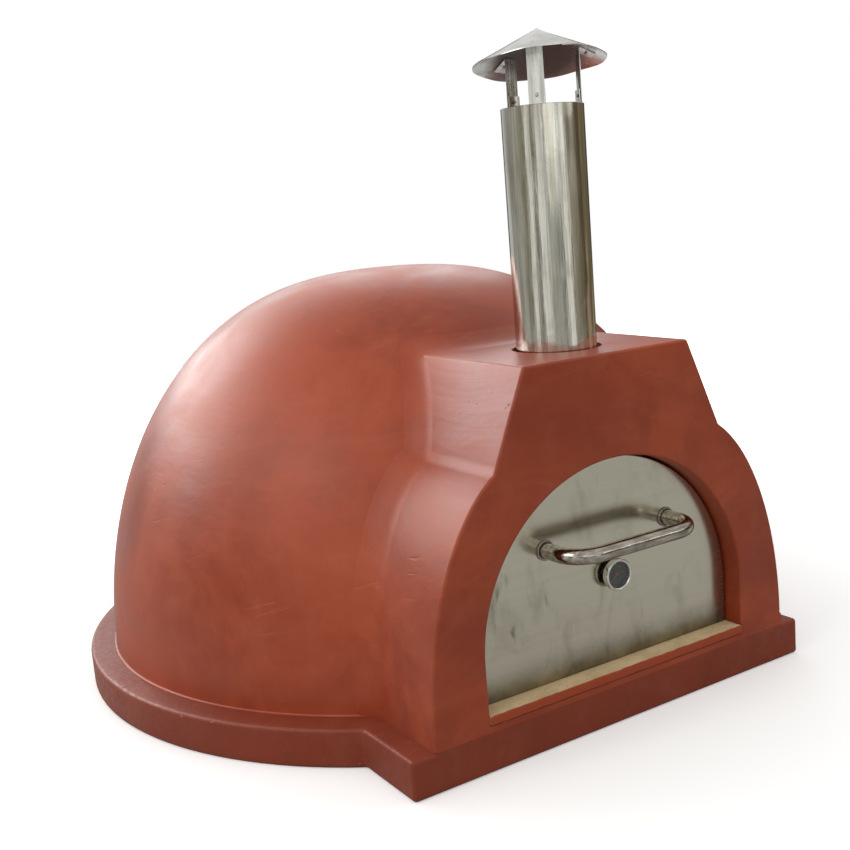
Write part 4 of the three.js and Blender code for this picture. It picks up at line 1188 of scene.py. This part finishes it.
gauge_glass, tree, shader = new_finish("gauge_glass")
shader.inputs["Base Color"].default_value = (0.93, 0.97, 0.95, 1)
shader.inputs["Transmission Weight"].default_value = 1.0
shader.inputs["IOR"].default_value = 1.45
film = between(tree, grain(tree, place_on_piece(tree), 70.0, 4, 0.6), 0.4, 0.8, 0.02, 0.12)
plug(tree, film, shader.inputs["Roughness"])
glass_low, glass_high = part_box("thermometer_glass")
glass_radius = (glass_high.x - glass_low.x) / 2
glass_line = [(0, glass_low.y)]
glass_line += [(glass_radius * t, glass_low.y + 0.0006 * t ** 3) for t in (0.25, 0.5, 0.75, 0.9, 1.0)]
glass_line += [(glass_radius, glass_high.y), (0, glass_high.y)]
glass = turned_piece(glass_line, 64, closed=False)
add_piece("dial_glass", glass, gauge_glass, "door", "glass", "thermometer_glass")

DIAL_BLACK = (0.014, 0.020, 0.017, 1)
FADED_BLACK = (0.040, 0.052, 0.044, 1)

dial_paint, tree, shader = new_finish("dial_paint")
spot = place_on_piece(tree)
tone = blend_colours(tree, grain(tree, spot, 90.0, 4, 0.6), DIAL_BLACK, FADED_BLACK)
dress(tree, shader, tone, 0.55, grain(tree, spot, 300.0, 3), 0.0001)
dial_radius = (dial_high.x - dial_low.x) / 2
SPINDLE_HOLE = 0.0014
dial_line = [
    (SPINDLE_HOLE, dial_low.y), (dial_radius - 0.0003, dial_low.y), (dial_radius, dial_low.y + 0.0003),
    (dial_radius, dial_high.y), (SPINDLE_HOLE, dial_high.y),
]
add_piece("dial_plate", turned_piece(dial_line, 64), dial_paint, "door", "dial", "thermometer_dial")

# The print on the dial: 31 short lines over 270 degrees, and a number at every fifth line.
dial_print, tree, shader = new_finish("dial_print")
spot = place_on_piece(tree)
tone = blend_colours(tree, grain(tree, spot, 200.0, 3), (0.14, 0.13, 0.12, 1), (0.24, 0.22, 0.20, 1))
dress(tree, shader, tone, 0.6, grain(tree, spot, 500.0, 2), 0.00002)
PRINT_HEIGHT = 0.00012
SCALE_START = math.radians(225)
SCALE_SWEEP = math.radians(270)


def on_dial(turn, radius):
    """The turn that puts a mark, drawn upright at the dial's middle, at its place on the scale."""
    return (
        Matrix.Translation((DIAL_CENTRE.x, dial_low.y - PRINT_HEIGHT / 2, DIAL_CENTRE.z))
        @ Matrix.Rotation(-turn, 4, "Y")
        @ Matrix.Translation((radius, 0, 0))
    )


bm = bmesh.new()
for i in range(31):
    long_mark = i % 5 == 0
    length, width = (0.0034, 0.0005) if long_mark else (0.002, 0.0003)
    size = Matrix.Diagonal((length, PRINT_HEIGHT, width, 1))
    turn = SCALE_START - SCALE_SWEEP * i / 30
    bmesh.ops.create_cube(bm, size=1, matrix=on_dial(turn, dial_radius - 0.0030) @ size)
for i, number in enumerate((0, 100, 200, 300, 400, 500, 600)):
    turn = SCALE_START - SCALE_SWEEP * i / 6
    text = bpy.data.curves.new("number", "FONT")
    text.body = str(number)
    text.size = 0.0048
    text.extrude = PRINT_HEIGHT / 2
    text.align_x = "CENTER"
    text.align_y = "CENTER"
    writing = bpy.data.objects.new("number", text)
    bpy.context.scene.collection.objects.link(writing)
    drawn = writing.evaluated_get(bpy.context.evaluated_depsgraph_get()).to_mesh()
    centre = DIAL_CENTRE + Vector((math.cos(turn), 0, math.sin(turn))) * (dial_radius - 0.0085)
    upright = Matrix.Rotation(math.pi / 2, 4, "X")
    drawn.transform(Matrix.Translation((centre.x, dial_low.y - PRINT_HEIGHT / 2, centre.z)) @ upright)
    bm.from_mesh(drawn)
    bpy.data.objects.remove(writing)
add_piece("dial_marks", bm, dial_print, "door", "dial")

needle_paint, tree, shader = new_finish("needle_paint")
spot = place_on_piece(tree)
tone = blend_colours(tree, grain(tree, spot, 260.0, 3), (0.30, 0.05, 0.03, 1), (0.42, 0.09, 0.05, 1))
dress(tree, shader, tone, 0.45, grain(tree, spot, 600.0, 2), 0.00002)
add_softened("gauge_needle", "thermometer_pointer", 0.00012, needle_paint, "needle", "pointer")
